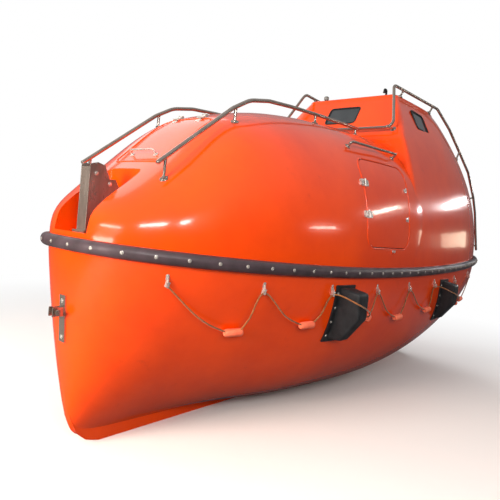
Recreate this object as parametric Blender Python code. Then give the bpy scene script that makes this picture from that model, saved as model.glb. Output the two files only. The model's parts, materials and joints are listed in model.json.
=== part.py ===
"""Enclosed lifeboat of moulded glass-fibre plastic.

Metres. +X is forward, +Y is port, +Z is up. The origin is amidships on the centreline, on the waterline.
"""

import math

import bmesh
import bpy
from mathutils import Matrix, Vector
from mathutils.bvhtree import BVHTree

# Driving dimensions
KEEL_Z = -0.60            # underside of the keel
SHEER_Z = 0.75            # joint of hull and canopy, amidships
BOW_RISE = 0.072          # the joint climbs this much to the stem
STERN_RISE = 0.17         # and this much to the stern
HALF_BEAM = 1.106         # moulded, at the joint
WIDEST_X = 0.325          # station of the greatest beam
BOW_REACH = 2.77          # from the widest station to the stem
STERN_REACH = 3.42        # from the widest station to the stern
BOW_ROUND = 2.54          # plan exponent ahead of the widest station
STERN_ROUND = 4.36        # plan exponent behind it
WALL = 0.040              # laminate, stiffeners and buoyancy foam together
GAP = 0.0004              # between pieces that touch
SWING_GAP = 0.007         # round a door or a lid
SIDE_STEPS = 30           # facets along one side of the hull

FLOOR_Z = -0.25           # cabin sole
KEEL_HALF = 0.038         # half thickness of the keel and skeg

WELL_HALF = 0.20          # half width of the hook wells
BOW_WELL_X = 2.68
BOW_WELL_FLOOR = 0.90
STERN_WELL_X = -2.62
STERN_WELL_FLOOR = 1.02

TOWER_FRONT_X = -0.02
KNUCKLE_Z = 2.12          # the tower's front leans back above this height
ROOF_Z = 2.65
ROOF_FRONT_X = -0.34
ROOF_AFT_X = -1.45
ROOF_HALF = 0.545         # half width of the roof at its front
ROOF_FLARE = 0.09         # the roof widens by this much to its aft end
SIDE_BULGE = 2.2          # exponent of the tower's side

TUBE_R = 0.016            # grab rails
ROPE_R = 0.006

# x, height of the canopy's crown, fullness of its section
CROWN = (
    (-1.30, 1.80, 2.96), (-0.40, 2.05, 2.96), (0.00, 2.107, 2.96), (0.40, 2.123, 2.80),
    (0.90, 2.103, 2.55), (1.40, 2.052, 2.45), (2.06, 1.881, 2.60), (2.60, 1.441, 2.85), (2.80, 1.272, 2.95),
    (3.00, 1.108, 2.95), (3.06, 1.035, 2.95), (3.095, 0.88, 2.95),
)
CANOPY_TAIL_X = -1.30     # the crowned part ends inside the tower
TAIL_NARROWING = 0.10
NOSE_X = 3.08             # flat of the canopy's nose, under the bow well
TOWER_CORNER = 0.05
ROOF_EDGE = 0.03
TOWER_LEVELS = (0.78, 0.95, 1.15, 1.35, 1.55, 1.75, 1.95, KNUCKLE_Z, 2.30, 2.47)

# height, station of the canopy's aft face, plan exponent
STERN_FACE = (
    (0.78, -3.090, 4.36), (1.10, -3.030, 4.6), (1.50, -2.850, 5.0), (1.80, -2.600, 5.6),
    (2.10, -2.250, 6.4), (2.40, -1.850, 7.2), (2.65, -1.450, 8.0),
)

# x at the joint, fullness of the hull's section, fullness of the stem or stern profile
HULL_FORM = (
    (-3.095, 2.0, 2.2), (-2.00, 2.4, 2.2), (-1.00, 2.6, 2.0), (1.00, 2.1, 2.0),
    (2.00, 1.45, 2.6), (2.60, 1.25, 4.2), (3.095, 1.25, 5.4),
)
BILGE_Z = KEEL_Z + 0.06   # hull bottom amidships
RUN_START_X = 0.5         # the bottom climbs towards the stern from here
RUN_RISE = 0.65
STEM_FOOT_X = 2.75
STERN_FOOT_X = -2.35

# name, centre x, y, z, facing, width, height, corner radius, depth inwards and outwards
OPENINGS = (
    ("side_door_port", 0.565, 1.05, 1.37, "port", 0.81, 0.78, 0.11, 0.28, 0.25),
    ("side_door_starboard", 0.565, -1.05, 1.37, "starboard", 0.81, 0.78, 0.11, 0.28, 0.25),
    ("bow_hatch", 2.365, 0.0, 1.640, "bow_slope", 0.54, 0.60, 0.05, 0.12, 0.12),
    ("aft_hatch", -2.10, 0.0, 2.250, "stern_slope", 0.50, 0.46, 0.05, 0.12, 0.12),
    ("roof_hatch", -0.88, 0.0, ROOF_Z, "roof", 0.56, 0.56, 0.06, 0.10, 0.06),
)
# name, centre x, y, z, facing, width, height, corner radius
WINDOWS = (
    ("window_front", -0.195, 0.0, 2.41, "tower_front", 0.38, 0.24, 0.035),
    ("window_port", -0.69, 0.735, 2.415, "tower_port", 0.33, 0.23, 0.035),
    ("window_starboard", -0.69, -0.735, 2.415, "tower_starboard", 0.33, 0.23, 0.035),
)
PANE = 0.008

# doors and lids: where the two hinges stand along the edge, in metres from its middle
HINGE_SPREAD = {
    "side_door_port": (0.155, -0.12),
    "side_door_starboard": (0.155, -0.12),
    "bow_hatch": (-0.14, 0.14),
    "aft_hatch": (-0.14, 0.14),
    "roof_hatch": (-0.16, 0.16),
}
LEAF_LENGTH = 0.075
HINGE_STAND = 0.018       # the axis above the skin
LEAF_TOP = -0.012         # from the axis
LEAF_FOOT = -0.026        # sunk into the skin
KNUCKLE_GAP = GAP
KNUCKLE_R = 0.009
KNUCKLE_HALF = 0.015
# lid, place across and up from its middle, span, radius
HANDLES = (
    ("bow_hatch", 0.0, -0.225, 0.28, 0.007),
    ("aft_hatch", 0.0, -0.160, 0.20, 0.007),
    ("roof_hatch", 0.0, -0.200, 0.20, 0.007),
)
DOOR_LATCHES = ((0.215, 1.53), (0.215, 1.256))
DOOR_STOP = (0.50, 0.945)

# out from the hull's edge, up from the joint
RAIL_SECTION = ((0.0006, -0.045), (0.030, -0.045), (0.048, -0.032), (0.055, -0.011),
                (0.055, 0.011), (0.048, 0.032), (0.030, 0.045), (0.0006, 0.045))
LONG_RAIL_Y = 0.45
LONG_RAIL = ((2.76, 1.404), (2.114, 1.905), (1.93, 2.010), (1.70, 2.062), (1.40, 2.090), (1.00, 2.116), (0.22, 2.151))
LONG_RAIL_POSTS = (2.70, 2.08, 1.02, 0.27)
DOOR_RAIL = ((0.98, 1.825), (0.22, 1.845))
TOWER_RAIL = (
    (-2.83, 0.90, 1.02), (-2.69, 0.86, 1.55), (-2.56, 0.85, 1.75), (-2.26, 0.83, 2.06), (-1.95, 0.78, 2.29),
    (-1.62, 0.73, 2.52), (-1.33, 0.655, 2.715), (-0.228, 0.575, 2.715), (0.035, 0.750, 2.200),
)
# x, y, z on the rail, the way to the skin
TOWER_RAIL_POSTS = (
    (-0.45, 0.590, 2.715, (0, -0.5, -1)), (-1.20, 0.646, 2.715, (0, -0.5, -1)),
    (0.035, 0.700, 2.200, (-1, 0, 0)), (-1.95, 0.780, 2.290, (0.6, 0, -0.8)),
    (-2.56, 0.850, 1.750, (1, -0.4, -0.3)), (-2.815, 0.895, 1.075, (1, -0.6, 0)),
)

# name, x, side
PADS = (("pad_port_fore", 1.25, 1), ("pad_port_aft", -1.00, 1),
        ("pad_starboard_fore", 1.25, -1), ("pad_starboard_aft", -1.00, -1))
PAD_HALF = 0.085
PAD_FLANGE = 0.13
PAD_FLANGE_THICK = 0.014
PAD_LOW, PAD_HIGH = 0.17, 0.655
# y and z of the wedge's outline
PAD_WEDGE = ((0.93, 0.635), (1.10, 0.635), (1.235, 0.610), (1.25, 0.595), (1.25, 0.40), (1.10, 0.20), (0.90, 0.19))

# the lifeline's route, port side: each row has an eye, the rope's fall, a float and the rope's climb
LIFELINE = (
    ((2.755, 0.650, 0.625), (2.491, 0.722, 0.398), (2.226, 0.775, 0.300), (2.171, 0.853, 0.399)),
    ((2.116, 0.928, 0.600), (1.868, 0.962, 0.418), (1.620, 0.984, 0.340), (1.523, 1.034, 0.420)),
    ((1.427, 1.076, 0.581), (1.348, 1.263, 0.530), (1.155, 1.263, 0.455), (0.990, 1.170, 0.385), (0.864, 1.142, 0.443)),
    ((0.728, 1.122, 0.572), (0.496, 1.116, 0.394), (0.263, 1.125, 0.318), (0.146, 1.122, 0.402)),
    ((0.028, 1.128, 0.571), (-0.229, 1.124, 0.409), (-0.487, 1.126, 0.340), (-0.579, 1.124, 0.421)),
    ((-0.672, 1.127, 0.584), (-0.905, 1.263, 0.520), (-1.095, 1.263, 0.455), (-1.250, 1.165, 0.385),
     (-1.311, 1.140, 0.460)),
    ((-1.372, 1.115, 0.612), (-1.601, 1.083, 0.443), (-1.830, 1.050, 0.370), (-1.950, 1.056, 0.464)),
    ((-2.070, 1.066, 0.653),),
)
FLOAT_LENGTH = 0.14
FLOAT_R = 0.029
EYE_HALF = 0.008
EYE_TOP = 0.075           # above the rope
EYE_REACH = 0.012         # beyond the rope

HOOK_INNER = 0.045        # half the space between the cheek plates
HOOK_SOLE = (-0.20, 0.02)
HOOK_BOW_X = 3.00
HOOK_STERN_X = -2.94
# x ahead of the frame's foot and height above the well's floor
HOOK_CHEEK = ((0.0, 0.004), (0.0, 0.455), (-0.03, 0.468), (-0.06, 0.460), (-0.125, 0.372), (-0.205, 0.375),
              (-0.250, 0.300), (-0.225, 0.205), (-0.110, 0.004))
HOOK_PIVOT = (-0.165, 0.270)
HOOK_BEAK = ((-0.195, 0.240), (-0.135, 0.240), (-0.115, 0.330), (-0.120, 0.390), (-0.085, 0.430), (-0.050, 0.410),
             (-0.040, 0.440), (-0.080, 0.480), (-0.140, 0.465), (-0.180, 0.390), (-0.195, 0.310))

PAINTER_Z = 0.365         # height of the painter's pin
PIN_AHEAD = 0.060         # of the stem
PIN_R = 0.010
PLATE = 0.012

SHAFT_Z = KEEL_Z + 0.33
NOZZLE_X = -2.26
TUBE_END_X = -2.08
TRUNK_Z = 0.0
HEEL_Z = KEEL_Z + 0.05
# radius, chord, pitch angle of a propeller blade's sections
BLADE = ((0.022, 0.075, 60), (0.08, 0.115, 42), (0.14, 0.125, 30), (0.185, 0.075, 24))
# radius and distance along the nozzle's axis
NOZZLE_SECTION = ((0.205, -0.10), (0.205, 0.10), (0.215, 0.105), (0.245, 0.06), (0.250, 0.0), (0.235, -0.10))
LIGHT = (-0.42, -0.39)
VENT = (-0.42, 0.40)

ENGINE_X = (-1.15, -0.35)
ENGINE_HALF = 0.27
ENGINE_TOP = 0.40

# width direction, height direction; the third is their cross product and faces outwards
FACINGS = {
    "port": ((-1, 0, 0), (0, -0.263, 0.965)),
    "starboard": ((1, 0, 0), (0, 0.263, 0.965)),
    "bow_slope": ((0, 1, 0), (-0.777, 0, 0.629)),
    "stern_slope": ((0, -1, 0), (0.80, 0, 0.60)),
    "roof": ((0, 1, 0), (-1, 0, 0)),
    "tower_front": ((0, 1, 0), (-0.517, 0, 0.856)),
    "tower_port": ((-1, 0, 0), (0, -0.451, 0.893)),
    "tower_starboard": ((1, 0, 0), (0, 0.451, 0.893)),
}

FINISHES = {
    # colour, roughness, metallic
    "gelcoat": ((0.90, 0.13, 0.01), 0.25, 0.0),
    "stainless": ((0.55, 0.54, 0.52), 0.28, 1.0),
    "rail_rubber": ((0.09, 0.075, 0.085), 0.55, 0.0),
    "black_rubber": ((0.03, 0.03, 0.032), 0.6, 0.0),
    "glass": ((0.12, 0.14, 0.15), 0.05, 0.0),
    "rope": ((0.75, 0.25, 0.06), 0.8, 0.0),
    "lamp_lens": ((0.75, 0.75, 0.72), 0.15, 0.0),
    "black_paint": ((0.05, 0.05, 0.055), 0.5, 0.2),
    "bronze": ((0.55, 0.38, 0.16), 0.35, 1.0),
    "engine_paint": ((0.35, 0.38, 0.40), 0.5, 0.0),
}


def clear_scene():
    for item in list(bpy.data.objects):
        bpy.data.objects.remove(item, do_unlink=True)


def finish(name):
    """Return the material of that name, made once."""
    material = bpy.data.materials.get(name)
    if material is None:
        colour, roughness, metallic = FINISHES[name]
        material = bpy.data.materials.new(name)
        material.use_nodes = True
        shader = material.node_tree.nodes["Principled BSDF"]
        shader.inputs["Base Color"].default_value = (*colour, 1.0)
        shader.inputs["Roughness"].default_value = roughness
        shader.inputs["Metallic"].default_value = metallic
    return material


def smooth(rows, column, x):
    """Read a column of a table at x, along a curve through its rows."""
    xs = [row[0] for row in rows]
    vs = [row[column] for row in rows]
    if x <= xs[0]:
        return vs[0]
    if x >= xs[-1]:
        return vs[-1]
    i = max(k for k in range(len(xs) - 1) if xs[k] <= x)
    slopes = [(vs[k + 1] - vs[k]) / (xs[k + 1] - xs[k]) for k in range(len(xs) - 1)]

    def tangent(k):
        if k == 0 or k == len(xs) - 1:
            return slopes[0] if k == 0 else slopes[-1]
        a, b = slopes[k - 1], slopes[k]
        return 0.0 if a * b <= 0 else 2 * a * b / (a + b)

    h = xs[i + 1] - xs[i]
    t = (x - xs[i]) / h
    blend = t * t * (3 - 2 * t)
    start = h * (t ** 3 - 2 * t * t + t) * tangent(i)
    end = h * (t ** 3 - t * t) * tangent(i + 1)
    return vs[i] + (vs[i + 1] - vs[i]) * blend + start + end


def resample(points, count):
    """Points at even steps along a polyline, both ends kept."""
    lengths = [0.0]
    for a, b in zip(points, points[1:]):
        lengths.append(lengths[-1] + math.dist(a, b))
    result = []
    k = 0
    for step in range(count + 1):
        target = lengths[-1] * step / count
        while k < len(points) - 2 and lengths[k + 1] < target:
            k += 1
        t = (target - lengths[k]) / (lengths[k + 1] - lengths[k])
        result.append(tuple(a + (b - a) * t for a, b in zip(points[k], points[k + 1])))
    result[0] = tuple(points[0])
    result[-1] = tuple(points[-1])
    return result


def plan_outline(inset=0.0):
    """Port side of the plan at the joint, stem to stern, as (x, y)."""
    fine = []
    for step in range(401):
        turn = math.pi * step / 400
        c, s = math.cos(turn), math.sin(turn)
        if c >= 0:
            reach, power = BOW_REACH - inset, BOW_ROUND
        else:
            reach, power = STERN_REACH - inset, STERN_ROUND
        x = WIDEST_X + math.copysign(reach * abs(c) ** (2 / power), c)
        y = (HALF_BEAM - inset) * max(s, 0.0) ** (2 / power)
        fine.append((x, y))
    fine[0] = (fine[0][0], 0.0)
    fine[-1] = (fine[-1][0], 0.0)
    return resample(fine, SIDE_STEPS)


def half_breadth(x):
    """Half breadth of the faceted plan at the joint."""
    for (x0, y0), (x1, y1) in zip(plan_outline(), plan_outline()[1:]):
        if x1 <= x <= x0:
            return y0 + (y1 - y0) * (x0 - x) / (x0 - x1)
    return 0.0


def sheer(x):
    """Height of the joint of hull and canopy."""
    if x >= WIDEST_X:
        return SHEER_Z + BOW_RISE * ((x - WIDEST_X) / BOW_REACH) ** 2
    return SHEER_Z + STERN_RISE * ((WIDEST_X - x) / STERN_REACH) ** 2


def hull_bottom(x):
    """Height of the hull's bottom on the centreline, without the keel."""
    if x >= RUN_START_X:
        return BILGE_Z
    part = (RUN_START_X - x) / (RUN_START_X - STERN_FOOT_X)
    return BILGE_Z + RUN_RISE * part ** 2.2


def symmetric_body(name, rows, finish_name):
    """Close a body whose port half is given as rows of points from its front tip to its back tip."""
    bm = bmesh.new()
    port, starboard = [], []
    for row in rows:
        left = [bm.verts.new(point) for point in row]
        right = [v if abs(v.co.y) < 1e-9 else bm.verts.new((v.co.x, -v.co.y, v.co.z)) for v in left]
        port.append(left)
        starboard.append(right)

    def face(*corners):
        kept = [v for i, v in enumerate(corners) if v is not corners[i - 1]]
        if len(set(kept)) >= 3:
            bm.faces.new(kept)

    for a, b in zip(range(len(rows) - 1), range(1, len(rows))):
        for i in range(len(rows[0]) - 1):
            face(port[a][i], port[a][i + 1], port[b][i + 1], port[b][i])
            face(starboard[a][i + 1], starboard[a][i], starboard[b][i], starboard[b][i + 1])
    for row in (0, -1):
        if any(abs(point[1]) > 1e-9 for point in rows[row]):
            for i in range(len(rows[row]) - 1):
                face(port[row][i], port[row][i + 1], starboard[row][i + 1], starboard[row][i])
    bmesh.ops.remove_doubles(bm, verts=bm.verts, dist=1e-6)
    split_quads(bm)
    return mesh_object(name, bm, finish_name)


def split_quads(bm):
    """Part each four-sided face along its shorter diagonal, so that every copy of a body is cut alike."""
    bmesh.ops.dissolve_degenerate(bm, edges=bm.edges, dist=1e-6)
    quads = [face for face in bm.faces if len(face.verts) == 4]
    bmesh.ops.triangulate(bm, faces=quads, quad_method="SHORT_EDGE")


def loft(name, loops, finish_name="gelcoat"):
    """Skin a row of closed loops and close both ends with flat faces."""
    bm = bmesh.new()
    rings = [[bm.verts.new(point) for point in loop] for loop in loops]
    for a, b in zip(rings, rings[1:]):
        for i in range(len(a)):
            bm.faces.new((a[i - 1], a[i], b[i], b[i - 1]))
    bm.faces.new(rings[0])
    bm.faces.new(rings[-1])
    split_quads(bm)
    return mesh_object(name, bm, finish_name)


def mesh_object(name, bm, finish_name):
    """Turn a bmesh into an object whose faces point out."""
    bmesh.ops.recalc_face_normals(bm, faces=bm.faces)
    if bm.calc_volume(signed=True) < 0:
        bmesh.ops.reverse_faces(bm, faces=bm.faces)
    mesh = bpy.data.meshes.new(name)
    bm.to_mesh(mesh)
    bm.free()
    item = bpy.data.objects.new(name, mesh)
    bpy.context.collection.objects.link(item)
    mesh.materials.append(finish(finish_name))
    return item


def evaluated_mesh(item):
    graph = bpy.context.evaluated_depsgraph_get()
    return bpy.data.meshes.new_from_object(item.evaluated_get(graph))


def combine(item, tool, operation, keep=False):
    """Add, cut or intersect item with tool, and drop the tool unless it is kept."""
    step = item.modifiers.new("solid", "BOOLEAN")
    step.operation = operation
    step.solver = "EXACT"
    step.object = tool
    mesh = evaluated_mesh(item)
    item.modifiers.clear()
    item.data = mesh
    if not keep:
        bpy.data.objects.remove(tool, do_unlink=True)
    return item


def copy_of(item, name):
    twin = bpy.data.objects.new(name, item.data.copy())
    bpy.context.collection.objects.link(twin)
    return twin


def swollen(item, distance, name="swollen"):
    """A copy of a body, grown along its normals."""
    bm = bmesh.new()
    bm.from_mesh(item.data)
    bm.normal_update()
    for v in bm.verts:
        v.co += v.normal * distance
    return mesh_object(name, bm, "gelcoat")


def smooth_shade(*items):
    for item in items:
        item.data.shade_smooth()
        item.data.set_sharp_from_angle(angle=math.radians(35))


def facing_frame(facing, centre):
    across = Vector(FACINGS[facing][0]).normalized()
    up = Vector(FACINGS[facing][1]).normalized()
    out = across.cross(up)
    frame = Matrix((across, up, out)).transposed().to_4x4()
    frame.translation = centre
    return frame


def rounded_outline(width, height, radius, steps=4):
    points = []
    for cx, cy, first in ((1, 1, 0), (-1, 1, 90), (-1, -1, 180), (1, -1, 270)):
        for step in range(steps + 1):
            turn = math.radians(first + 90 * step / steps)
            points.append((cx * (width / 2 - radius) + radius * math.cos(turn),
                           cy * (height / 2 - radius) + radius * math.sin(turn)))
    return points


def prism(name, outline, low, high, frame, finish_name="gelcoat"):
    """Extrude an outline between two depths along the frame's third axis."""
    bm = bmesh.new()
    bottom = [bm.verts.new(frame @ Vector((u, v, low))) for u, v in outline]
    top = [bm.verts.new(frame @ Vector((u, v, high))) for u, v in outline]
    bm.faces.new(bottom)
    bm.faces.new(top)
    for i in range(len(outline)):
        bm.faces.new((bottom[i - 1], bottom[i], top[i], top[i - 1]))
    return mesh_object(name, bm, finish_name)


def box(name, low, high, finish_name="gelcoat", frame=Matrix()):
    outline = ((low[0], low[1]), (high[0], low[1]), (high[0], high[1]), (low[0], high[1]))
    return prism(name, outline, low[2], high[2], frame, finish_name)


def axis_frame(start, direction):
    """A frame whose third axis runs from start along direction."""
    frame = Vector(direction).to_track_quat("Z", "Y").to_matrix().to_4x4()
    frame.translation = start
    return frame


def rod(name, start, end, radius, finish_name="stainless", sides=12):
    length = (Vector(end) - Vector(start)).length
    outline = [(radius * math.cos(2 * math.pi * k / sides), radius * math.sin(2 * math.pi * k / sides))
               for k in range(sides)]
    return prism(name, outline, 0.0, length, axis_frame(start, Vector(end) - Vector(start)), finish_name)


def tube(name, points, radius, finish_name="stainless", closed=False, resolution=2):
    """A round bar along points."""
    curve = bpy.data.curves.new(name, "CURVE")
    curve.dimensions = "3D"
    curve.bevel_depth = radius
    curve.bevel_resolution = resolution
    curve.use_fill_caps = True
    spline = curve.splines.new("POLY")
    spline.points.add(len(points) - 1)
    for target, point in zip(spline.points, points):
        target.co = (*point, 1.0)
    spline.use_cyclic_u = closed
    item = bpy.data.objects.new(name, curve)
    bpy.context.collection.objects.link(item)
    mesh = evaluated_mesh(item)
    bpy.data.objects.remove(item, do_unlink=True)
    bm = bmesh.new()
    bm.from_mesh(mesh)
    bmesh.ops.remove_doubles(bm, verts=bm.verts, dist=1e-5)
    return mesh_object(name, bm, finish_name)


def bent(points, radius, steps=4):
    """Replace each inner corner of a polyline by an arc."""
    result = [Vector(points[0])]
    for before, corner, after in zip(points, points[1:], points[2:]):
        corner = Vector(corner)
        a = (Vector(before) - corner).normalized()
        b = (Vector(after) - corner).normalized()
        half = a.angle(b) / 2
        reach = min(radius / math.tan(half), 0.45 * (Vector(before) - corner).length,
                    0.45 * (Vector(after) - corner).length)
        start, end = corner + a * reach, corner + b * reach
        for step in range(steps + 1):
            t = step / steps
            result.append(start * (1 - t) ** 2 + corner * 2 * t * (1 - t) + end * t * t)
    result.append(Vector(points[-1]))
    return result


def mirrored(item, name):
    """The starboard twin of a port piece."""
    bm = bmesh.new()
    bm.from_mesh(item.data)
    for v in bm.verts:
        v.co.y = -v.co.y
    bmesh.ops.reverse_faces(bm, faces=bm.faces)
    twin = mesh_object(name, bm, item.data.materials[0].name)
    return twin


def surface_of(item):
    bm = bmesh.new()
    bm.from_mesh(item.data)
    tree = BVHTree.FromBMesh(bm)
    bm.free()
    return tree


def hit(tree, start, direction):
    """Where a ray from start meets a surface, and the outward normal there."""
    place, normal, _, _ = tree.ray_cast(Vector(start), Vector(direction))
    return place, normal


def set_origin(item, point):
    """Put an object's origin on its joint's axis."""
    shift = Vector(point)
    item.data.transform(Matrix.Translation(-shift))
    item.location = shift


# Hull

def hull_body(name, inset=0.0, floor=None, lift=0.0, levels=9):
    """The hull as a closed body, or the hollow inside it when it is inset."""
    rim = plan_outline(inset)
    front, back = rim[0][0], rim[-1][0]
    rows = []
    if lift:
        rows.append([(x, y, sheer(x) + lift) for x, y in rim])
    for level in range(levels + 1):
        turn = math.pi / 2 * level / levels
        c, s = max(math.cos(turn), 0.0), math.sin(turn)
        if level == levels:
            c = 0.0
        row = []
        for x, y in rim:
            pull = (front - STEM_FOOT_X) / front ** 3 if x > 0 else (back - STERN_FOOT_X) / back ** 3
            foot_x = x - pull * x ** 3
            fullness = smooth(HULL_FORM, 1, x)
            profile = smooth(HULL_FORM, 2, x)
            low = hull_bottom(foot_x) + inset
            z = sheer(x) - (sheer(x) - low) * s ** (2 / fullness)
            if floor is not None:
                z = max(z, floor)
            row.append((foot_x + (x - foot_x) * c ** (2 / profile), y * c ** (2 / fullness), z))
        rows.append(row)
    return symmetric_body(name, rows, "gelcoat")


def keel_profile():
    """Keel, forefoot and skeg in side view, as (x, height)."""
    stem = [(3.028, KEEL_Z + 0.50), (3.012, KEEL_Z + 0.36), (2.985, KEEL_Z + 0.22), (2.93, KEEL_Z + 0.10),
            (2.85, KEEL_Z + 0.03), (2.74, KEEL_Z)]
    heel = [(-2.50, KEEL_Z), (-2.50, KEEL_Z + 0.05), (-2.02, KEEL_Z + 0.05), (-1.93, KEEL_Z + 0.12),
            (-1.90, KEEL_Z + 0.60), (-1.20, KEEL_Z + 0.30), (0.5, KEEL_Z + 0.10), (2.55, KEEL_Z + 0.12),
            (2.85, KEEL_Z + 0.50)]
    return stem + heel


def keel_fin():
    frame = Matrix(((1, 0, 0, 0), (0, 0, 1, 0), (0, 1, 0, 0), (0, 0, 0, 1)))
    return prism("keel", keel_profile(), -KEEL_HALF, KEEL_HALF, frame)


def hull():
    shell = hull_body("hull_shell")
    combine(shell, keel_fin(), "UNION")
    cavity = hull_body("cavity", WALL + 0.015, FLOOR_Z, lift=0.06, levels=8)
    combine(shell, cavity, "DIFFERENCE")
    return shell


# Canopy

def crown_z(x, inset=0.0):
    return smooth(CROWN, 1, x) - inset


def dome_breadth(x, inset=0.0):
    """Half breadth of the crowned part, which draws in towards its tail inside the tower."""
    tail = min(max(-x / -CANOPY_TAIL_X, 0.0), 1.0)
    return (half_breadth(x) - inset - 0.005) * (1 - TAIL_NARROWING * tail * tail * (3 - 2 * tail))


def dome_body(name, inset=0.0, foot=0.60, levels=10):
    """The crowned part of the canopy, from the stem to inside the tower."""
    stations = [NOSE_X - inset] + [x for x, _ in plan_outline() if CANOPY_TAIL_X < x < NOSE_X - inset - 0.01]
    loops = []
    for x in stations + [CANOPY_TAIL_X]:
        breadth = dome_breadth(x, inset)
        base = sheer(x) + 0.03
        height = max(crown_z(x, inset) - base, 0.02)
        fullness = smooth(CROWN, 2, x)
        port = [(x, breadth, foot)]
        for level in range(levels + 1):
            turn = math.pi / 2 * level / levels
            c = 0.0 if level == levels else math.cos(turn)
            port.append((x, breadth * c ** (2 / fullness), base + height * math.sin(turn) ** (2 / fullness)))
        loops.append(port + [(px, -py, pz) for px, py, pz in reversed(port[:-1])])
    return loft(name, loops)


def tower_ring(z, inset):
    """One level of the tower as a closed loop, from the middle of its front round by port."""
    part = min(max((z - SHEER_Z - 0.03) / (ROOF_Z - SHEER_Z - 0.03), 0.0), 1.0)
    lean = min(max((z - KNUCKLE_Z) / (ROOF_Z - KNUCKLE_Z), 0.0), 1.0)
    front = TOWER_FRONT_X + (ROOF_FRONT_X - TOWER_FRONT_X) * lean - inset
    back = smooth(STERN_FACE, 1, z) + inset
    power = smooth(STERN_FACE, 2, z)

    def width(x):
        along = min(max((front - x) / 1.1, 0.0), 1.0)
        top = ROOF_HALF + ROOF_FLARE * along
        full = HALF_BEAM - 0.005 - (HALF_BEAM - 0.005 - top) * part ** SIDE_BULGE
        stern = min((WIDEST_X - x) / (WIDEST_X - back), 1.0)
        return (full - inset) * (1 - stern ** power) ** (1 / power)

    start = front - TOWER_CORNER
    port = [(front, width(front) * k / 4) for k in range(4)]
    port.append((front, width(front) - TOWER_CORNER))
    port.append((front - 0.3 * TOWER_CORNER, width(front) - 0.3 * TOWER_CORNER))
    fine = [(start + (back - start) * math.sin(math.pi / 2 * step / 300) ** 0.5, step) for step in range(301)]
    fine = [(x, width(x) if step < 300 else 0.0) for x, step in fine]
    port += resample(fine, 20)
    return [(x, y, z) for x, y in port] + [(x, -y, z) for x, y in reversed(port[1:-1])]


def tower_body(name, inset=0.0, foot=0.60):
    top = ROOF_Z - inset
    loops = [[(x, y, foot) for x, y, _ in tower_ring(SHEER_Z + 0.03, inset)]]
    for z in TOWER_LEVELS + (top - ROOF_EDGE,):
        loops.append(tower_ring(z, inset))
    middle = (ROOF_FRONT_X + ROOF_AFT_X) / 2
    loops.append([(middle + (x - middle) * 0.98, y * 0.965, top) for x, y, _ in loops[-1]])
    return loft(name, loops)


def below_joint(name, drop):
    """A slab whose top follows the joint, to trim the canopy's foot."""
    rim = plan_outline()
    stations = [3.6] + [x for x, _ in rim] + [-3.6]
    bm = bmesh.new()
    top = [[bm.verts.new((x, side * 1.6, sheer(min(max(x, -3.095), 3.095)) + drop)) for x in stations]
           for side in (1, -1)]
    bottom = [[bm.verts.new((x, side * 1.6, KEEL_Z)) for x in stations] for side in (1, -1)]
    for i in range(len(stations) - 1):
        bm.faces.new((top[0][i], top[0][i + 1], top[1][i + 1], top[1][i]))
        bm.faces.new((bottom[0][i], bottom[1][i], bottom[1][i + 1], bottom[0][i + 1]))
        for side in (0, 1):
            bm.faces.new((top[side][i], bottom[side][i], bottom[side][i + 1], top[side][i + 1]))
    for i in (0, -1):
        bm.faces.new((top[0][i], top[1][i], bottom[1][i], bottom[0][i]))
    return mesh_object(name, bm, "gelcoat")


def well_cutter(margin, deep):
    """The two hook wells as one tool, or with a margin the walls round them."""
    half = WELL_HALF + margin
    bow = box("bow_well", (BOW_WELL_X - margin, -half, BOW_WELL_FLOOR if not deep else 0.5), (3.6, half, 2.9))
    stern = box("stern_well", (-3.6, -half, STERN_WELL_FLOOR if not deep else 0.5),
                (STERN_WELL_X + margin, half, 2.9))
    return bow, stern


def canopy_solid(name="canopy_solid"):
    """The canopy's outer form before anything is cut from it."""
    body = dome_body(name)
    combine(body, tower_body("tower"), "UNION")
    combine(body, below_joint("foot", GAP), "DIFFERENCE")
    for tool in well_cutter(0.0, False):
        combine(body, tool, "DIFFERENCE")
    return body


def canopy_hollow():
    body = dome_body("hollow", WALL, foot=0.50)
    combine(body, tower_body("tower_hollow", WALL, foot=0.47), "UNION")
    for tool in well_cutter(WALL, True):
        combine(body, tool, "DIFFERENCE")
    return body


def cut_panels(shell):
    """Cut the doors and hatches out of the canopy and return them as panels of its own thickness."""
    panels = {}
    for name, x, y, z, facing, width, height, radius, depth, reach in OPENINGS:
        frame = facing_frame(facing, (x, y, z))
        inner = prism("inner", rounded_outline(width, height, radius), -depth, reach, frame)
        panels[name] = combine(copy_of(shell, name), inner, "INTERSECT")
        outer = prism("outer", rounded_outline(width + 2 * SWING_GAP, height + 2 * SWING_GAP,
                                               radius + SWING_GAP), -depth - 0.01, reach + 0.01, frame)
        combine(shell, outer, "DIFFERENCE")
    return panels


def cut_windows(shell):
    for name, x, y, z, facing, width, height, radius in WINDOWS:
        frame = facing_frame(facing, (x, y, z))
        combine(shell, prism("light", rounded_outline(width, height, radius), -0.15, 0.12, frame), "DIFFERENCE")


# Doors, hatches and their hinges

def knuckle_points(tree, name):
    """Where the two hinges of a door or lid stand, and the way out from the skin there."""
    place = {row[0]: row for row in OPENINGS}[name]
    _, x, y, z, facing, width, height, _, _, _ = place
    frame = facing_frame(facing, (x, y, z))
    out = frame.to_3x3() @ Vector((0, 0, 1))
    points = []
    for offset in HINGE_SPREAD[name]:
        if name.startswith("side_door"):
            side = -1 if facing == "port" else 1
            local = Vector((side * (width / 2 + SWING_GAP / 2), offset, 0.6))
        else:
            local = Vector((offset, height / 2 + SWING_GAP / 2, 0.6))
        place, _ = hit(tree, frame @ local, -out)
        points.append(place + out * HINGE_STAND)
    return points, out


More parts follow.
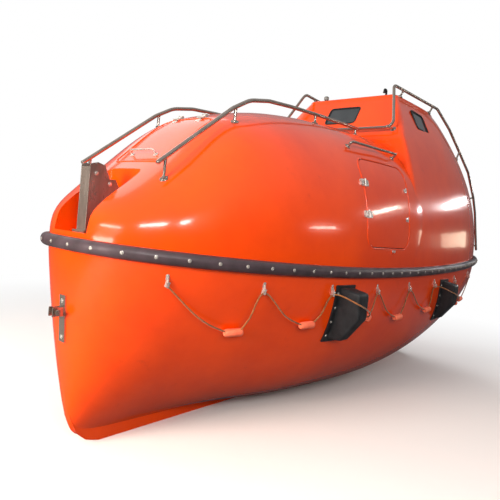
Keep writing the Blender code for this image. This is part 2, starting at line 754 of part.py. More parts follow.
def hinge_line(tree, name):
    """Axis point, axis direction, direction of the leaf and the way out."""
    (a, b), out = knuckle_points(tree, name)
    axis = (b - a).normalized()
    inward = Vector((-1, 0, 0)) if name.startswith("side_door") else out.cross(axis)
    inward = (inward - axis * inward.dot(axis)).normalized()
    if not name.startswith("side_door"):
        place = {row[0]: row for row in OPENINGS}[name]
        if inward.dot(Vector(place[1:4]) - a) < 0:
            inward = -inward
    if inward.cross(out).dot(axis) < 0:
        a, b, axis = b, a, -axis
    return (a, b), axis, inward, axis.cross(inward)


def hinge_frame(point, axis, inward, out):
    frame = Matrix((inward, axis, out)).transposed().to_4x4()
    frame.translation = point
    return frame


def hinge_side(name, direction, leaf, low, high, frame):
    """One knuckle with its leaf, extruded along the axis between low and high."""
    r = KNUCKLE_R
    outline = [(direction * leaf, LEAF_FOOT), (direction * leaf, LEAF_TOP), (direction * r, LEAF_TOP)]
    outline += [(direction * r * math.cos(math.radians(turn)), r * math.sin(math.radians(turn)))
                for turn in range(0, 181, 30)]
    outline += [(direction * 0.001, LEAF_TOP + 0.002), (direction * 0.001, LEAF_FOOT)]
    profile = Matrix(((1, 0, 0, 0), (0, 0, 1, 0), (0, 1, 0, 0), (0, 0, 0, 1)))
    return prism(name, outline, low, high, frame @ profile)


def fit_hinges(panel, shell, tree, name):
    """Knuckles and leaves, the middle one on the panel and the outer two on the shell round it."""
    points, axis, inward, out = hinge_line(tree, name)
    for point in points:
        frame = hinge_frame(point, axis, inward, out)
        combine(panel, hinge_side("leaf", 1, LEAF_LENGTH, -KNUCKLE_HALF, KNUCKLE_HALF, frame), "UNION")
        for side in (-1, 1):
            low, high = sorted((side * (KNUCKLE_HALF + KNUCKLE_GAP), side * KNUCKLE_HALF * 2.2))
            combine(shell, hinge_side("leaf", -1, 0.055, low, high, frame), "UNION")


def handle_points(tree, frame, u, v, span, along_u=True, stand=0.045):
    """A bail handle's path, from skin to skin."""
    out = frame.to_3x3() @ Vector((0, 0, 1))
    feet = []
    for side in (-0.5, 0.5):
        shift = (side * span, 0) if along_u else (0, side * span)
        place, _ = hit(tree, frame @ Vector((u + shift[0], v + shift[1], 0.6)), -out)
        feet.append(place)
    return [feet[0] - out * 0.006, feet[0] + out * stand, feet[1] + out * stand, feet[1] - out * 0.006]


def fit_handles(panels, tree):
    for name, u, v, span, radius in HANDLES:
        place = {row[0]: row for row in OPENINGS}[name]
        frame = facing_frame(place[4], place[1:4])
        path = bent(handle_points(tree, frame, u, v, span), 0.02, 2)
        combine(panels[name], tube("handle", path, radius, resolution=1), "UNION")
    for name, sign in (("side_door_port", 1), ("side_door_starboard", -1)):
        for x, z in DOOR_LATCHES:
            place, _ = hit(tree, (x, sign * 2.0, z), (0, -sign, 0))
            y = sorted((place.y - sign * 0.006, place.y + sign * 0.022))
            latch = box("latch", (x - 0.035, y[0], z - 0.016), (x + 0.012, y[1], z + 0.016))
            combine(panels[name], latch, "UNION")


def door_stops(shell, tree):
    for sign in (1, -1):
        x, z = DOOR_STOP
        place, _ = hit(tree, (x, sign * 2.0, z), (0, -sign, 0))
        y = sorted((place.y - sign * 0.008, place.y + sign * 0.025))
        combine(shell, box("stop", (x - 0.03, y[0], z - 0.018), (x + 0.03, y[1], z + 0.018)), "UNION")


def window_panes(tree):
    panes = []
    for name, x, y, z, facing, width, height, radius in WINDOWS:
        frame = facing_frame(facing, (x, y, z))
        out = frame.to_3x3() @ Vector((0, 0, 1))
        place, _ = hit(tree, frame @ Vector((0, 0, 0.5)), -out)
        depth = (place - Vector((x, y, z))).dot(out) - 0.006
        outline = rounded_outline(width - 2 * GAP, height - 2 * GAP, radius)
        panes.append(prism(name, outline, depth - PANE, depth, frame, "glass"))
    return panes


# Rub rail

def rub_rail(name, side):
    """Half of the fender round the joint, in the section of a D."""
    path = [Vector((x, y, 0)) for x, y in plan_outline()]
    ends = [Vector((path[1].x, -path[1].y, 0))] + path + [Vector((path[-2].x, -path[-2].y, 0))]
    loops = []
    for before, here, after in zip(ends, path, ends[2:]):
        a = (here - before).normalized()
        b = (after - here).normalized()
        normals = [Vector((t.y, -t.x, 0)) for t in (a, b)]
        middle = (normals[0] + normals[1]).normalized()
        if middle.dot(here - Vector((WIDEST_X - 0.5, 0, 0))) < 0:
            middle = -middle
        stretch = 1 / max(middle.dot(normals[0] if normals[0].dot(middle) > 0 else -normals[0]), 0.5)
        loop = []
        for out, up in RAIL_SECTION:
            point = here + middle * out * stretch
            loop.append((point.x, side * max(point.y, GAP / 2), sheer(here.x) + up))
        loops.append(loop)
    return loft(name, loops, "rail_rubber")


# Grab rails

def foot_disc(place, normal, radius=0.028, thick=0.007):
    return rod("foot", place - normal * 0.01, place + normal * thick, radius, sides=10)


def post(rail, tree, top, toward, radius=0.011):
    """A stanchion from the tube to the skin, with its foot plate."""
    place, normal = hit(tree, top, toward)
    combine(rail, rod("post", Vector(top), place - normal * 0.008, radius, sides=8), "UNION")
    combine(rail, foot_disc(place, normal), "UNION")


def roof_rail(tree, seat):
    """One long grab rail over the crown, port side."""
    path = bent([(x, LONG_RAIL_Y, z) for x, z in LONG_RAIL], 0.35, 3)
    rail = tube("long_rail_port", path, TUBE_R)
    for x in LONG_RAIL_POSTS:
        z = max(p.z for p in path if abs(p.x - x) < 0.6)
        for a, b in zip(path, path[1:]):
            if min(a.x, b.x) <= x <= max(a.x, b.x):
                z = a.z + (b.z - a.z) * (x - a.x) / (b.x - a.x)
        post(rail, tree, (x, LONG_RAIL_Y, z), (0, 0, -1))
    return combine(rail, seat, "DIFFERENCE", keep=True)


def door_rail(tree, seat):
    """The short grab rail over a side door, port side."""
    ends = []
    for x, z in DOOR_RAIL:
        place, normal = hit(tree, (x, 2.0, z), (0, -1, 0))
        ends.append((place, normal))
    (a, na), (b, nb) = ends
    path = [a - na * 0.01, a + na * 0.06, b + nb * 0.06, b - nb * 0.01]
    rail = tube("door_rail_port", bent(path, 0.05, 3), 0.012)
    for place, normal in ends:
        combine(rail, foot_disc(place, normal, 0.024), "UNION")
    return combine(rail, seat, "DIFFERENCE", keep=True)


def tower_rail(tree, seat):
    """The hand rail round the tower: a bar across its front, up, along the roof and down the stern."""
    port = list(TOWER_RAIL)
    path = port + [(x, -y, z) for x, y, z in reversed(port)]
    rail = tube("tower_rail", bent(path, 0.09, 3), TUBE_R)
    for side in (1, -1):
        for x, y, z, toward in TOWER_RAIL_POSTS:
            post(rail, tree, (x, side * y, z), (toward[0], side * toward[1], toward[2]))
    return combine(rail, seat, "DIFFERENCE", keep=True)


# Fender pads and lifelines

def fender_pad(name, x, side, near, seat):
    """A rubber skate on the hull's side: a flange that follows the skin and a wedge that stands out."""
    flange = box(name, (x - PAD_FLANGE, 0.8, PAD_LOW), (x + PAD_FLANGE, 1.4, PAD_HIGH), "black_rubber")
    combine(flange, near, "INTERSECT", keep=True)
    frame = Matrix(((0, 0, 1, 0), (1, 0, 0, 0), (0, 1, 0, 0), (0, 0, 0, 1)))
    wedge = prism("wedge", PAD_WEDGE, x - PAD_HALF, x + PAD_HALF, frame, "black_rubber")
    combine(flange, wedge, "UNION")
    combine(flange, seat, "DIFFERENCE", keep=True)
    if side > 0:
        return flange
    pad = mirrored(flange, name)
    bpy.data.objects.remove(flange, do_unlink=True)
    pad.name = name
    return pad


def route(side, column=None):
    """The lifeline's points, or one column of its rows."""
    rows = [row for row in LIFELINE if column is None or len(row) > abs(column) - 1]
    points = [point for row in rows for point in (row if column is None else (row[column],))]
    return [Vector((x, side * y, z)) for x, y, z in points]


def lifeline(name, side):
    """The rope looped along the side, with its floats threaded on it."""
    path = smooth_route(route(side))
    rope = tube(name, path, ROPE_R, "rope")
    for place in route(side, -2):
        nearest = min(range(1, len(path) - 1), key=lambda i: (path[i] - place).length)
        along = (path[nearest + 1] - path[nearest - 1]).normalized() * FLOAT_LENGTH / 2
        combine(rope, rod("float", place - along, place + along, FLOAT_R, "rope", 12), "UNION")
    return rope


def smooth_route(points, spacing=0.075):
    """Points along a smooth curve through the route's own points."""
    ends = [points[0] * 2 - points[1]] + points + [points[-1] * 2 - points[-2]]
    result = []
    for p0, p1, p2, p3 in zip(ends, ends[1:], ends[2:], ends[3:]):
        steps = max(2, round((p2 - p1).length / spacing))
        for step in range(steps):
            t = step / steps
            result.append(0.5 * (2 * p1 + (p2 - p0) * t + (2 * p0 - 5 * p1 + 4 * p2 - p3) * t * t
                                 + (3 * p1 - 3 * p2 + p3 - p0) * t ** 3))
    result.append(points[-1])
    return result


def rope_eyes(shell):
    """Plates on the hull's side, bored for the rope."""
    for side in (1, -1):
        for x, y, z in route(side, 0):
            low, high = sorted((side * (abs(y) - 0.045), side * (abs(y) + EYE_REACH)))
            combine(shell, box("eye", (x - EYE_HALF, low, z - EYE_REACH), (x + EYE_HALF, high, z + EYE_TOP)), "UNION")
        combine(shell, tube("bore", smooth_route(route(side)), ROPE_R + 2 * GAP), "DIFFERENCE")


# Release hooks and the painter's bracket

def side_prism(name, outline, low, high, finish_name="stainless"):
    """Extrude a side-view outline of (x, z) across the boat, from y low to y high."""
    frame = Matrix(((1, 0, 0, 0), (0, 0, 1, 0), (0, 1, 0, 0), (0, 0, 0, 1)))
    return prism(name, outline, low, high, frame, finish_name)


def hook_frame(name, place):
    """Two cheek plates on a sole plate with a web across their front."""
    frame = box(name, (HOOK_SOLE[0], -0.075, 0.0), (HOOK_SOLE[1], 0.075, 0.012), "stainless")
    for low, high in ((HOOK_INNER, HOOK_INNER + 0.010), (-HOOK_INNER - 0.010, -HOOK_INNER)):
        combine(frame, side_prism("cheek", HOOK_CHEEK, low, high), "UNION")
    combine(frame, box("web", (-0.012, -HOOK_INNER - 0.004, 0.004), (-0.002, HOOK_INNER + 0.004, 0.44)), "UNION")
    frame.data.materials.clear()
    frame.data.materials.append(finish("stainless"))
    frame.data.transform(place)
    return frame


def release_hook(name, place):
    hook = side_prism(name, HOOK_BEAK, -0.016, 0.016)
    x, z = HOOK_PIVOT
    combine(hook, rod("boss", (x, -HOOK_INNER + GAP, z), (x, HOOK_INNER - GAP, z), 0.024), "UNION")
    hook.data.transform(place)
    return hook


def hook_places():
    """Bow hook faces forward, stern hook faces aft."""
    bow = Matrix.Translation((HOOK_BOW_X, 0, BOW_WELL_FLOOR + GAP))
    stern = Matrix.Translation((HOOK_STERN_X, 0, STERN_WELL_FLOOR + GAP)) @ Matrix.Rotation(math.pi, 4, "Z")
    return bow, stern


def stem_x(tree, z):
    place, _ = hit(tree, (4.0, 0.0, z), (-1, 0, 0))
    return place.x


def painter_bracket(tree, seat):
    """Plate on the stem with two ears for the painter's release pin."""
    z = PAINTER_Z
    low, high = z - 0.21, z + 0.11
    foot, head = stem_x(tree, low) + PLATE, stem_x(tree, high) + PLATE
    outline = ((2.9, low), (foot, low), (head, high), (2.9, high))
    plate = side_prism("painter_bracket", outline, -0.035, 0.035)
    eye = stem_x(tree, z) + PIN_AHEAD
    for near, far in ((0.018, 0.028), (-0.028, -0.018)):
        combine(plate, box("ear", (2.95, near, z - 0.03), (eye + 0.03, far, z + 0.03)), "UNION")
    combine(plate, rod("hole", (eye, -0.1, z), (eye, 0.1, z), PIN_R + 0.0006), "DIFFERENCE")
    return combine(plate, seat, "DIFFERENCE", keep=True)


def painter_pin(tree):
    z = PAINTER_Z
    eye = stem_x(tree, z) + PIN_AHEAD
    pin = rod("painter_pin", (eye, -0.045, z), (eye, 0.045, z), PIN_R)
    return combine(pin, rod("head", (eye, 0.040, z), (eye, 0.058, z), 0.022), "UNION")


# Propulsion

def stern_gear(shell):
    """Stern tube and the trunk over the nozzle's stock, moulded to the hull."""
    combine(shell, rod("stern_tube", (-1.85, 0, SHAFT_Z), (TUBE_END_X, 0, SHAFT_Z), 0.034), "UNION")
    combine(shell, rod("trunk", (NOZZLE_X, 0, TRUNK_Z), (NOZZLE_X, 0, TRUNK_Z + 0.14), 0.055), "UNION")


def propeller():
    """A hub with three raked blades."""
    wheel = rod("propeller", (TUBE_END_X - GAP, 0, SHAFT_Z), (NOZZLE_X - 0.075, 0, SHAFT_Z), 0.030, "bronze")
    for blade in range(3):
        turn = Matrix.Translation((NOZZLE_X, 0, SHAFT_Z)) @ Matrix.Rotation(2 * math.pi * blade / 3, 4, "X")
        loops = []
        for radius, chord, pitch in BLADE:
            lean = Matrix.Rotation(math.radians(pitch), 4, "Z")
            loop = []
            for along, thick in ((-0.5, 0), (-0.25, 0.5), (0.1, 0.6), (0.5, 0), (0.1, -0.6), (-0.25, -0.5)):
                loop.append(turn @ (lean @ Vector((along * chord, thick * 0.012, 0)) + Vector((0, 0, radius))))
            loops.append(loop)
        combine(wheel, loft("blade", loops, "bronze"), "UNION")
    cone = rod("cone", (NOZZLE_X - 0.07, 0, SHAFT_Z), (NOZZLE_X - 0.115, 0, SHAFT_Z), 0.018, "bronze")
    return combine(wheel, cone, "UNION")


def steering_nozzle():
    """A ring round the propeller that turns on a stock and a heel pin."""
    centre = Matrix.Translation((NOZZLE_X, 0, SHAFT_Z)) @ Matrix.Rotation(math.pi / 2, 4, "Y")
    bm = bmesh.new()
    sides = 32
    rings = [[bm.verts.new(centre @ Vector((r * math.cos(2 * math.pi * k / sides),
                                            r * math.sin(2 * math.pi * k / sides), h)))
              for k in range(sides)] for r, h in NOZZLE_SECTION]
    for a, b in zip(rings, rings[1:] + rings[:1]):
        for k in range(sides):
            bm.faces.new((a[k - 1], a[k], b[k], b[k - 1]))
    ring = mesh_object("steering_nozzle", bm, "black_paint")
    outer = max(r for r, _ in NOZZLE_SECTION) - 0.012
    stock = rod("stock", (NOZZLE_X, 0, SHAFT_Z + outer), (NOZZLE_X, 0, TRUNK_Z - GAP), 0.032)
    heel = rod("heel", (NOZZLE_X, 0, HEEL_Z + GAP), (NOZZLE_X, 0, SHAFT_Z - outer), 0.025)
    combine(ring, stock, "UNION")
    return combine(ring, heel, "UNION")


# Small roof fittings

def roof_light():
    x, y = LIGHT
    base = rod("roof_light", (x, y, ROOF_Z + GAP), (x, y, ROOF_Z + 0.022), 0.022, "lamp_lens", 16)
    loops = []
    for radius, height in ((0.018, 0.015), (0.028, 0.03), (0.030, 0.05), (0.024, 0.068), (0.010, 0.078)):
        loops.append([(x + radius * math.cos(math.pi * k / 8), y + radius * math.sin(math.pi * k / 8),
                       ROOF_Z + height) for k in range(16)])
    return combine(base, loft("lens", loops, "lamp_lens"), "UNION")


def vent_pipe():
    x, y = VENT
    path = [(x, y, ROOF_Z + GAP), (x, y, ROOF_Z + 0.075), (x + 0.05, y, ROOF_Z + 0.075), (x + 0.05, y, ROOF_Z + 0.035)]
    return tube("vent_pipe", bent(path, 0.024, 4), 0.012, "black_paint")


def pivots(hull_tree):
    """Points on the axes of the two hooks, the painter's pin, the propeller and the nozzle."""
    x, z = HOOK_PIVOT
    bow, stern = hook_places()
    shaft = Vector((NOZZLE_X, 0, SHAFT_Z))
    eye = Vector((stem_x(hull_tree, PAINTER_Z) + PIN_AHEAD, 0, PAINTER_Z))
    return bow @ Vector((x, 0, z)), stern @ Vector((x, 0, z)), eye, shaft, shaft


def build():
    clear_scene()
    shell = hull()
    skin = hull_body("hull_skin")
    hull_tree = surface_of(skin)
    stern_gear(shell)
    rope_eyes(shell)

    solid = canopy_solid()
    tree = surface_of(solid)
    canopy = copy_of(solid, "canopy_shell")
    combine(canopy, canopy_hollow(), "DIFFERENCE")
    panels = cut_panels(canopy)
    cut_windows(canopy)
    for name, panel in panels.items():
        fit_hinges(panel, canopy, tree, name)
    fit_handles(panels, tree)
    door_stops(canopy, tree)
    panes = window_panes(tree)
    box("engine", (ENGINE_X[0], -ENGINE_HALF, FLOOR_Z + GAP), (ENGINE_X[1], ENGINE_HALF, ENGINE_TOP), "engine_paint")

    deck_seat = swollen(solid, GAP)
    side_seat = swollen(skin, GAP)
    near_side = swollen(skin, PAD_FLANGE_THICK)
    rails = [rub_rail("rub_rail_port", 1), rub_rail("rub_rail_starboard", -1)]
    for maker in (roof_rail, door_rail):
        rail = maker(tree, deck_seat)
        rails += [rail, mirrored(rail, rail.name.replace("port", "starboard"))]
    rails.append(tower_rail(tree, deck_seat))
    pads = [fender_pad(name, x, side, near_side, side_seat) for name, x, side in PADS]
    lines = [lifeline("lifeline_port", 1), lifeline("lifeline_starboard", -1)]
    bow, stern = hook_places()
    gear = [release_hook("bow_hook", bow), release_hook("stern_hook", stern), painter_pin(hull_tree),
            propeller(), steering_nozzle()]
    for item, pivot in zip(gear, pivots(hull_tree)):
        set_origin(item, pivot)
    gear += [hook_frame("bow_hook_frame", bow), hook_frame("stern_hook_frame", stern),
             painter_bracket(hull_tree, side_seat), roof_light(), vent_pipe()]
    for name, panel in panels.items():
        set_origin(panel, hinge_line(tree, name)[0][0])
    for helper in (solid, skin, deck_seat, side_seat, near_side):
        bpy.data.objects.remove(helper, do_unlink=True)
    smooth_shade(shell, canopy, *panels.values(), *panes, *rails, *pads, *lines, *gear)


if __name__ == "__main__":
    build()
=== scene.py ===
"""Looks of the enclosed lifeboat: fine skins, finishes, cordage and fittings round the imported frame.

Metres. +X is forward, +Y is port, +Z is up. The origin is amidships on the waterline.
"""

import functools
import json
import math

import bmesh
import bpy
import numpy as np
from mathutils import Matrix, Vector
from mathutils.bvhtree import BVHTree


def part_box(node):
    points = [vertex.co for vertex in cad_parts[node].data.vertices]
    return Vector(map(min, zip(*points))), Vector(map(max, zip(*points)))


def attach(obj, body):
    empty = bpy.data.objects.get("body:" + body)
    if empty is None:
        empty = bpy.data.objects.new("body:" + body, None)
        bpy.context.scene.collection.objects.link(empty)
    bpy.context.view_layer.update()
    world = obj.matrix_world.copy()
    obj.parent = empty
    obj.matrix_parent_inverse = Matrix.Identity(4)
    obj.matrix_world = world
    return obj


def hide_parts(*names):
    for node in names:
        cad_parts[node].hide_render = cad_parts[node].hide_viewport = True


bl_info = {
    "name": "Enclosed lifeboat looks",
    "version": (1, 0, 0),
    "blender": (4, 5, 0),
    "location": "3D View > Sidebar > Lifeboat",
    "description": "Dresses the packed lifeboat with its skins, finishes, cordage and fittings",
    "category": "Object",
}

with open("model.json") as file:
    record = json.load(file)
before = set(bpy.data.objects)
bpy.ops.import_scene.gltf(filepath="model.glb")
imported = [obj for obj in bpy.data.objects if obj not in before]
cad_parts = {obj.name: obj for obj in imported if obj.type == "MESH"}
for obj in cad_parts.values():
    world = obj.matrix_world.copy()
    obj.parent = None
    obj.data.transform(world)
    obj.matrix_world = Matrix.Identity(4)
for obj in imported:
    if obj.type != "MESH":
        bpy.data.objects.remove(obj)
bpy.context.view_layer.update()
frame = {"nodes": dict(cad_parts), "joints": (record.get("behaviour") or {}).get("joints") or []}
JOINTS = {joint["name"]: joint for joint in frame["joints"]}

# Form of the hull and the canopy, as in the solids
KEEL_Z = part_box("hull_shell")[0].z
SHEER_Z = 0.75
BOW_RISE = 0.072
STERN_RISE = 0.17
HALF_BEAM = 1.106
WIDEST_X = 0.325
BOW_REACH = 2.77
STERN_REACH = 3.42
BOW_ROUND = 2.54
STERN_ROUND = 4.36
FLOOR_Z = -0.25
KEEL_HALF = 0.038
SHELL_WALL = 0.040
SWING_GAP = 0.007
WELL_HALF = 0.20
WELL_CORNER = 0.05
BOW_WELL_X = 2.68
BOW_WELL_FLOOR = 0.90
STERN_WELL_X = -2.62
STERN_WELL_FLOOR = 1.02
TOWER_FRONT_X = -0.02
KNUCKLE_Z = 2.12
ROOF_Z = 2.65
ROOF_FRONT_X = -0.34
ROOF_AFT_X = -1.45
ROOF_HALF = 0.545
ROOF_FLARE = 0.09
SIDE_BULGE = 2.2
TOWER_CORNER = 0.05
ROOF_EDGE = 0.03
CANOPY_TAIL_X = -1.30
TAIL_NARROWING = 0.10
NOSE_X = 3.08
BILGE_Z = KEEL_Z + 0.06
RUN_START_X = 0.5
RUN_RISE = 0.65
RUN_POWER = 2.2
STEM_FOOT_X = 2.75
STERN_FOOT_X = -2.35
# Ends of the plan at the joint, the canopy's set-in there, the height above it where its form starts,
# and the gap between hull and canopy
BOW_X = WIDEST_X + BOW_REACH
STERN_X = WIDEST_X - STERN_REACH
CANOPY_INSET = 0.005
JOINT_RISE = 0.03
JOINT_GAP = 0.0004
TOWER_FOOT_Z = SHEER_Z + JOINT_RISE
# how far aft of its front the tower reaches its full width
FLARE_REACH = 1.1
HULL_WALL = SHELL_WALL + 0.015
# where the canopy's forms end below the joint. They differ, so that no two faces coincide
SKIN_FOOT_Z, HOLLOW_FOOT_Z, TOWER_HOLLOW_FOOT_Z = 0.60, 0.50, 0.47
# clear of the boat ahead and astern, to each side, and above the canopy
CLEAR_X, CLEAR_Y, CLEAR_Z = 3.6, 1.6, 2.9

# x, height of the canopy's crown, fullness of its section
CROWN = (
    (-1.30, 1.80, 2.96), (-0.40, 2.05, 2.96), (0.00, 2.107, 2.96), (0.40, 2.123, 2.80),
    (0.90, 2.103, 2.55), (1.40, 2.052, 2.45), (2.06, 1.881, 2.60), (2.60, 1.441, 2.85), (2.80, 1.272, 2.95),
    (3.00, 1.108, 2.95), (3.06, 1.035, 2.95), (3.095, 0.88, 2.95),
)
# height, station of the canopy's aft face, plan exponent
STERN_FACE = (
    (0.78, -3.090, 4.36), (1.10, -3.030, 4.6), (1.50, -2.850, 5.0), (1.80, -2.600, 5.6),
    (2.10, -2.250, 6.4), (2.40, -1.850, 7.2), (2.65, -1.450, 8.0),
)
# x at the joint, fullness of the hull's section, fullness of the stem or stern profile
HULL_FORM = (
    (-3.095, 2.0, 2.2), (-2.00, 2.4, 2.2), (-1.00, 2.6, 2.0), (1.00, 2.1, 2.0),
    (2.00, 1.45, 2.6), (2.60, 1.25, 4.2), (3.095, 1.25, 5.4),
)
# name: centre x, y, z, facing, width, height, corner radius, depth inwards and outwards
OPENINGS = {
    "side_door_port": (0.565, 1.05, 1.37, "port", 0.81, 0.78, 0.11, 0.28, 0.25),
    "side_door_starboard": (0.565, -1.05, 1.37, "starboard", 0.81, 0.78, 0.11, 0.28, 0.25),
    "bow_hatch": (2.365, 0.0, 1.640, "bow_slope", 0.54, 0.60, 0.05, 0.12, 0.12),
    "aft_hatch": (-2.10, 0.0, 2.250, "stern_slope", 0.50, 0.46, 0.05, 0.12, 0.12),
    "roof_hatch": (-0.88, 0.0, ROOF_Z, "roof", 0.56, 0.56, 0.06, 0.10, 0.06),
}
WINDOWS = {
    "window_front": (-0.195, 0.0, 2.41, "tower_front", 0.38, 0.24, 0.035),
    "window_port": (-0.69, 0.735, 2.415, "tower_port", 0.33, 0.23, 0.035),
    "window_starboard": (-0.69, -0.735, 2.415, "tower_starboard", 0.33, 0.23, 0.035),
}
# how deep a window's opening is cut, inwards and outwards
WINDOW_CUT = (0.15, 0.12)
# ways across and up an opening
FACINGS = {
    "port": ((-1, 0, 0), (0, -0.263, 0.965)),
    "starboard": ((1, 0, 0), (0, 0.263, 0.965)),
    "bow_slope": ((0, 1, 0), (-0.777, 0, 0.629)),
    "stern_slope": ((0, -1, 0), (0.80, 0, 0.60)),
    "roof": ((0, 1, 0), (-1, 0, 0)),
    "tower_front": ((0, 1, 0), (-0.517, 0, 0.856)),
    "tower_port": ((-1, 0, 0), (0, -0.451, 0.893)),
    "tower_starboard": ((1, 0, 0), (0, 0.451, 0.893)),
}
# panel: body, joint, places of its two hinges along the joint's axis
PANELS = {
    "side_door_port": ("door_port", "door_port_hinge", (0.0, 0.275)),
    "side_door_starboard": ("door_starboard", "door_starboard_hinge", (0.0, 0.275)),
    "bow_hatch": ("hatch_bow", "bow_hatch_hinge", (-0.14, 0.14)),
    "aft_hatch": ("hatch_aft", "aft_hatch_hinge", (-0.14, 0.14)),
    "roof_hatch": ("hatch_roof", "roof_hatch_hinge", (-0.16, 0.16)),
}
# lid: place up from its middle, span of its handle
HANDLES = {"bow_hatch": (-0.225, 0.28), "aft_hatch": (-0.160, 0.20), "roof_hatch": (-0.200, 0.20)}
HANDLE_RISE = 0.045
# the raised lip round an opening
LIP_HEIGHT = 0.0055
LIP_HALF = 0.007
# along the boat, height
DOOR_LATCHES = ((0.215, 1.53), (0.215, 1.256))
DOOR_STOP = (0.50, 0.945)
# how deep a panel's seal lies in its gap, and how far a window's stands out from its pane
SEAL_DEPTH = 0.012
PANE_SEAL_LIFT = 0.006

LONG_RAIL_Y = 0.45
LONG_RAIL_BEND = 0.35
LONG_RAIL = (
    (2.76, 1.404), (2.114, 1.905), (1.93, 2.010), (1.70, 2.062), (1.40, 2.090), (1.00, 2.116), (0.22, 2.151),
)
LONG_RAIL_POSTS = (2.70, 2.08, 1.02, 0.27)
DOOR_RAIL = ((0.98, 1.825), (0.22, 1.845))
DOOR_RAIL_RISE = 0.06
DOOR_RAIL_RADIUS = 0.012
DOOR_RAIL_BEND = 0.05
# a post's thickness as a share of its rail's
POST_SHARE = 0.7
TOWER_RAIL = (
    (-2.83, 0.90, 1.02), (-2.69, 0.86, 1.55), (-2.56, 0.85, 1.75), (-2.26, 0.83, 2.06), (-1.95, 0.78, 2.29),
    (-1.62, 0.73, 2.52), (-1.33, 0.655, 2.715), (-0.228, 0.575, 2.715), (0.035, 0.750, 2.200),
)
TOWER_RAIL_BEND = 0.09
# x, y, z on the rail, the way to the skin
TOWER_RAIL_POSTS = (
    (-0.45, 0.590, 2.715, (0, -0.5, -1)), (-1.20, 0.646, 2.715, (0, -0.5, -1)),
    (0.035, 0.700, 2.200, (-1, 0, 0)), (-1.95, 0.780, 2.290, (0.6, 0, -0.8)),
    (-2.56, 0.850, 1.750, (1, -0.4, -0.3)), (-2.815, 0.895, 1.075, (1, -0.6, 0)),
)

SIDES = ((1, "port"), (-1, "starboard"))
# how finely the rub rail is drawn, how far its first bolt lies from the stem, and half the split between
# its halves
FENDER_STEPS = 260
FENDER_FIRST_BOLT = 0.10
FENDER_SPLIT = 0.0002
# spacing of the rings that a lifeline is drawn with, and the share of its radius that its lobes take
ROPE_STEP = 0.006
ROPE_LOBE = 0.14
# the lifeline's route, port side: each row has an eye, the rope's fall, a float and the rope's climb
LIFELINE = (
    ((2.755, 0.650, 0.625), (2.491, 0.722, 0.398), (2.226, 0.775, 0.300), (2.171, 0.853, 0.399)),
    ((2.116, 0.928, 0.600), (1.868, 0.962, 0.418), (1.620, 0.984, 0.340), (1.523, 1.034, 0.420)),
    ((1.427, 1.076, 0.581), (1.348, 1.263, 0.530), (1.155, 1.263, 0.455), (0.990, 1.170, 0.385),
     (0.864, 1.142, 0.443)),
    ((0.728, 1.122, 0.572), (0.496, 1.116, 0.394), (0.263, 1.125, 0.318), (0.146, 1.122, 0.402)),
    ((0.028, 1.128, 0.571), (-0.229, 1.124, 0.409), (-0.487, 1.126, 0.340), (-0.579, 1.124, 0.421)),
    ((-0.672, 1.127, 0.584), (-0.905, 1.263, 0.520), (-1.095, 1.263, 0.455), (-1.250, 1.165, 0.385),
     (-1.311, 1.140, 0.460)),
    ((-1.372, 1.115, 0.612), (-1.601, 1.083, 0.443), (-1.830, 1.050, 0.370), (-1.950, 1.056, 0.464)),
    ((-2.070, 1.066, 0.653),),
)

# radius, chord, pitch angle of a propeller blade's sections
BLADE = ((0.022, 0.075, 60), (0.08, 0.115, 42), (0.14, 0.125, 30), (0.185, 0.075, 24))
BLADE_THICK = 0.0075
SHAFT = Vector(JOINTS["propeller_spin"]["pos_m"])
# where the stern tube and the propeller's hub start
TUBE_X = -1.85
HUB_X = -2.0804
# share of the chord that is left at the blade's last sections
BLADE_TIP = {13: 0.86, 14: 0.5}
# radius and distance along the nozzle's axis
NOZZLE_SECTION = ((0.205, -0.10), (0.205, 0.10), (0.215, 0.105), (0.245, 0.06), (0.250, 0.0), (0.235, -0.10))
# the skates: where each is along the boat, and their form out from the middle and up
PADS = {"fore": 1.25, "aft": -1.00}
PAD_WEDGE = (
    (0.93, 0.635), (1.10, 0.635), (1.235, 0.610), (1.25, 0.595), (1.25, 0.40), (1.10, 0.20), (0.90, 0.19),
)
PAD_HALF = 0.085
PAD_FLANGE = 0.13
PAD_THICK = 0.014
PAD_LOW, PAD_HIGH = 0.17, 0.655
PAD_TAPER = 0.05
PAD_ROUND = 0.018
PAD_ROWS = 24
# heights of the flange's bolts, and how far they lie inside its edges
PAD_BOLTS = (0.23, 0.35, 0.47, 0.59)
PAD_BOLT_INSET = 0.022
# where the lamp and the vent stand on the roof
LIGHT = (-0.42, -0.39)
VENT = (-0.42, 0.40)
# heights of the two bolts in the painter bracket's plate
BRACKET_BOLTS = (0.19, 0.435)
# bolts of a hook's frame: how far they lie inside its foot's edge, and how high above its foot
FRAME_BOLTS = ((0.18, 0.10), (0.07, 0.10), (0.07, 0.40), (0.18, 0.34), (0.22, 0.24))
FOOT_BOLTS = (0.045, 0.19)

# How finely the skins are drawn, and the steps that their outlines are first laid out in
PLAN_STEPS = 2000
SIDE_STEPS = 600
RIM_STEPS = 150
HULL_LEVELS = 40
DOME_LEVELS = 40
TOWER_STEPS = 90
TOWER_RISE = 0.045

# How far out the rays start that look for a place on a side of the boat, or on a door or lid
BESIDE = 2.5
ABOVE = 0.6

# Swaps a place's second and third axes. On its own it is the boat seen from the side
SIDE_VIEW = Matrix(((1, 0, 0, 0), (0, 0, 1, 0), (0, 1, 0, 0), (0, 0, 0, 1)))

# Where the floor starts to run out into the backdrop, where it has, and where it ends
FLOOR_FADE = (3.0, 7.5)
FLOOR_HALF = 60.0

# Where the photograph was taken from
CAMERA_AT = (4.78, 2.996, 1.075)
CAMERA_YAW = 40.04
CAMERA_PITCH = -3.169
CAMERA_ROLL = 5.831
CAMERA_LENS = 35.235
CAMERA_SENSOR = 36.0


# Finishes

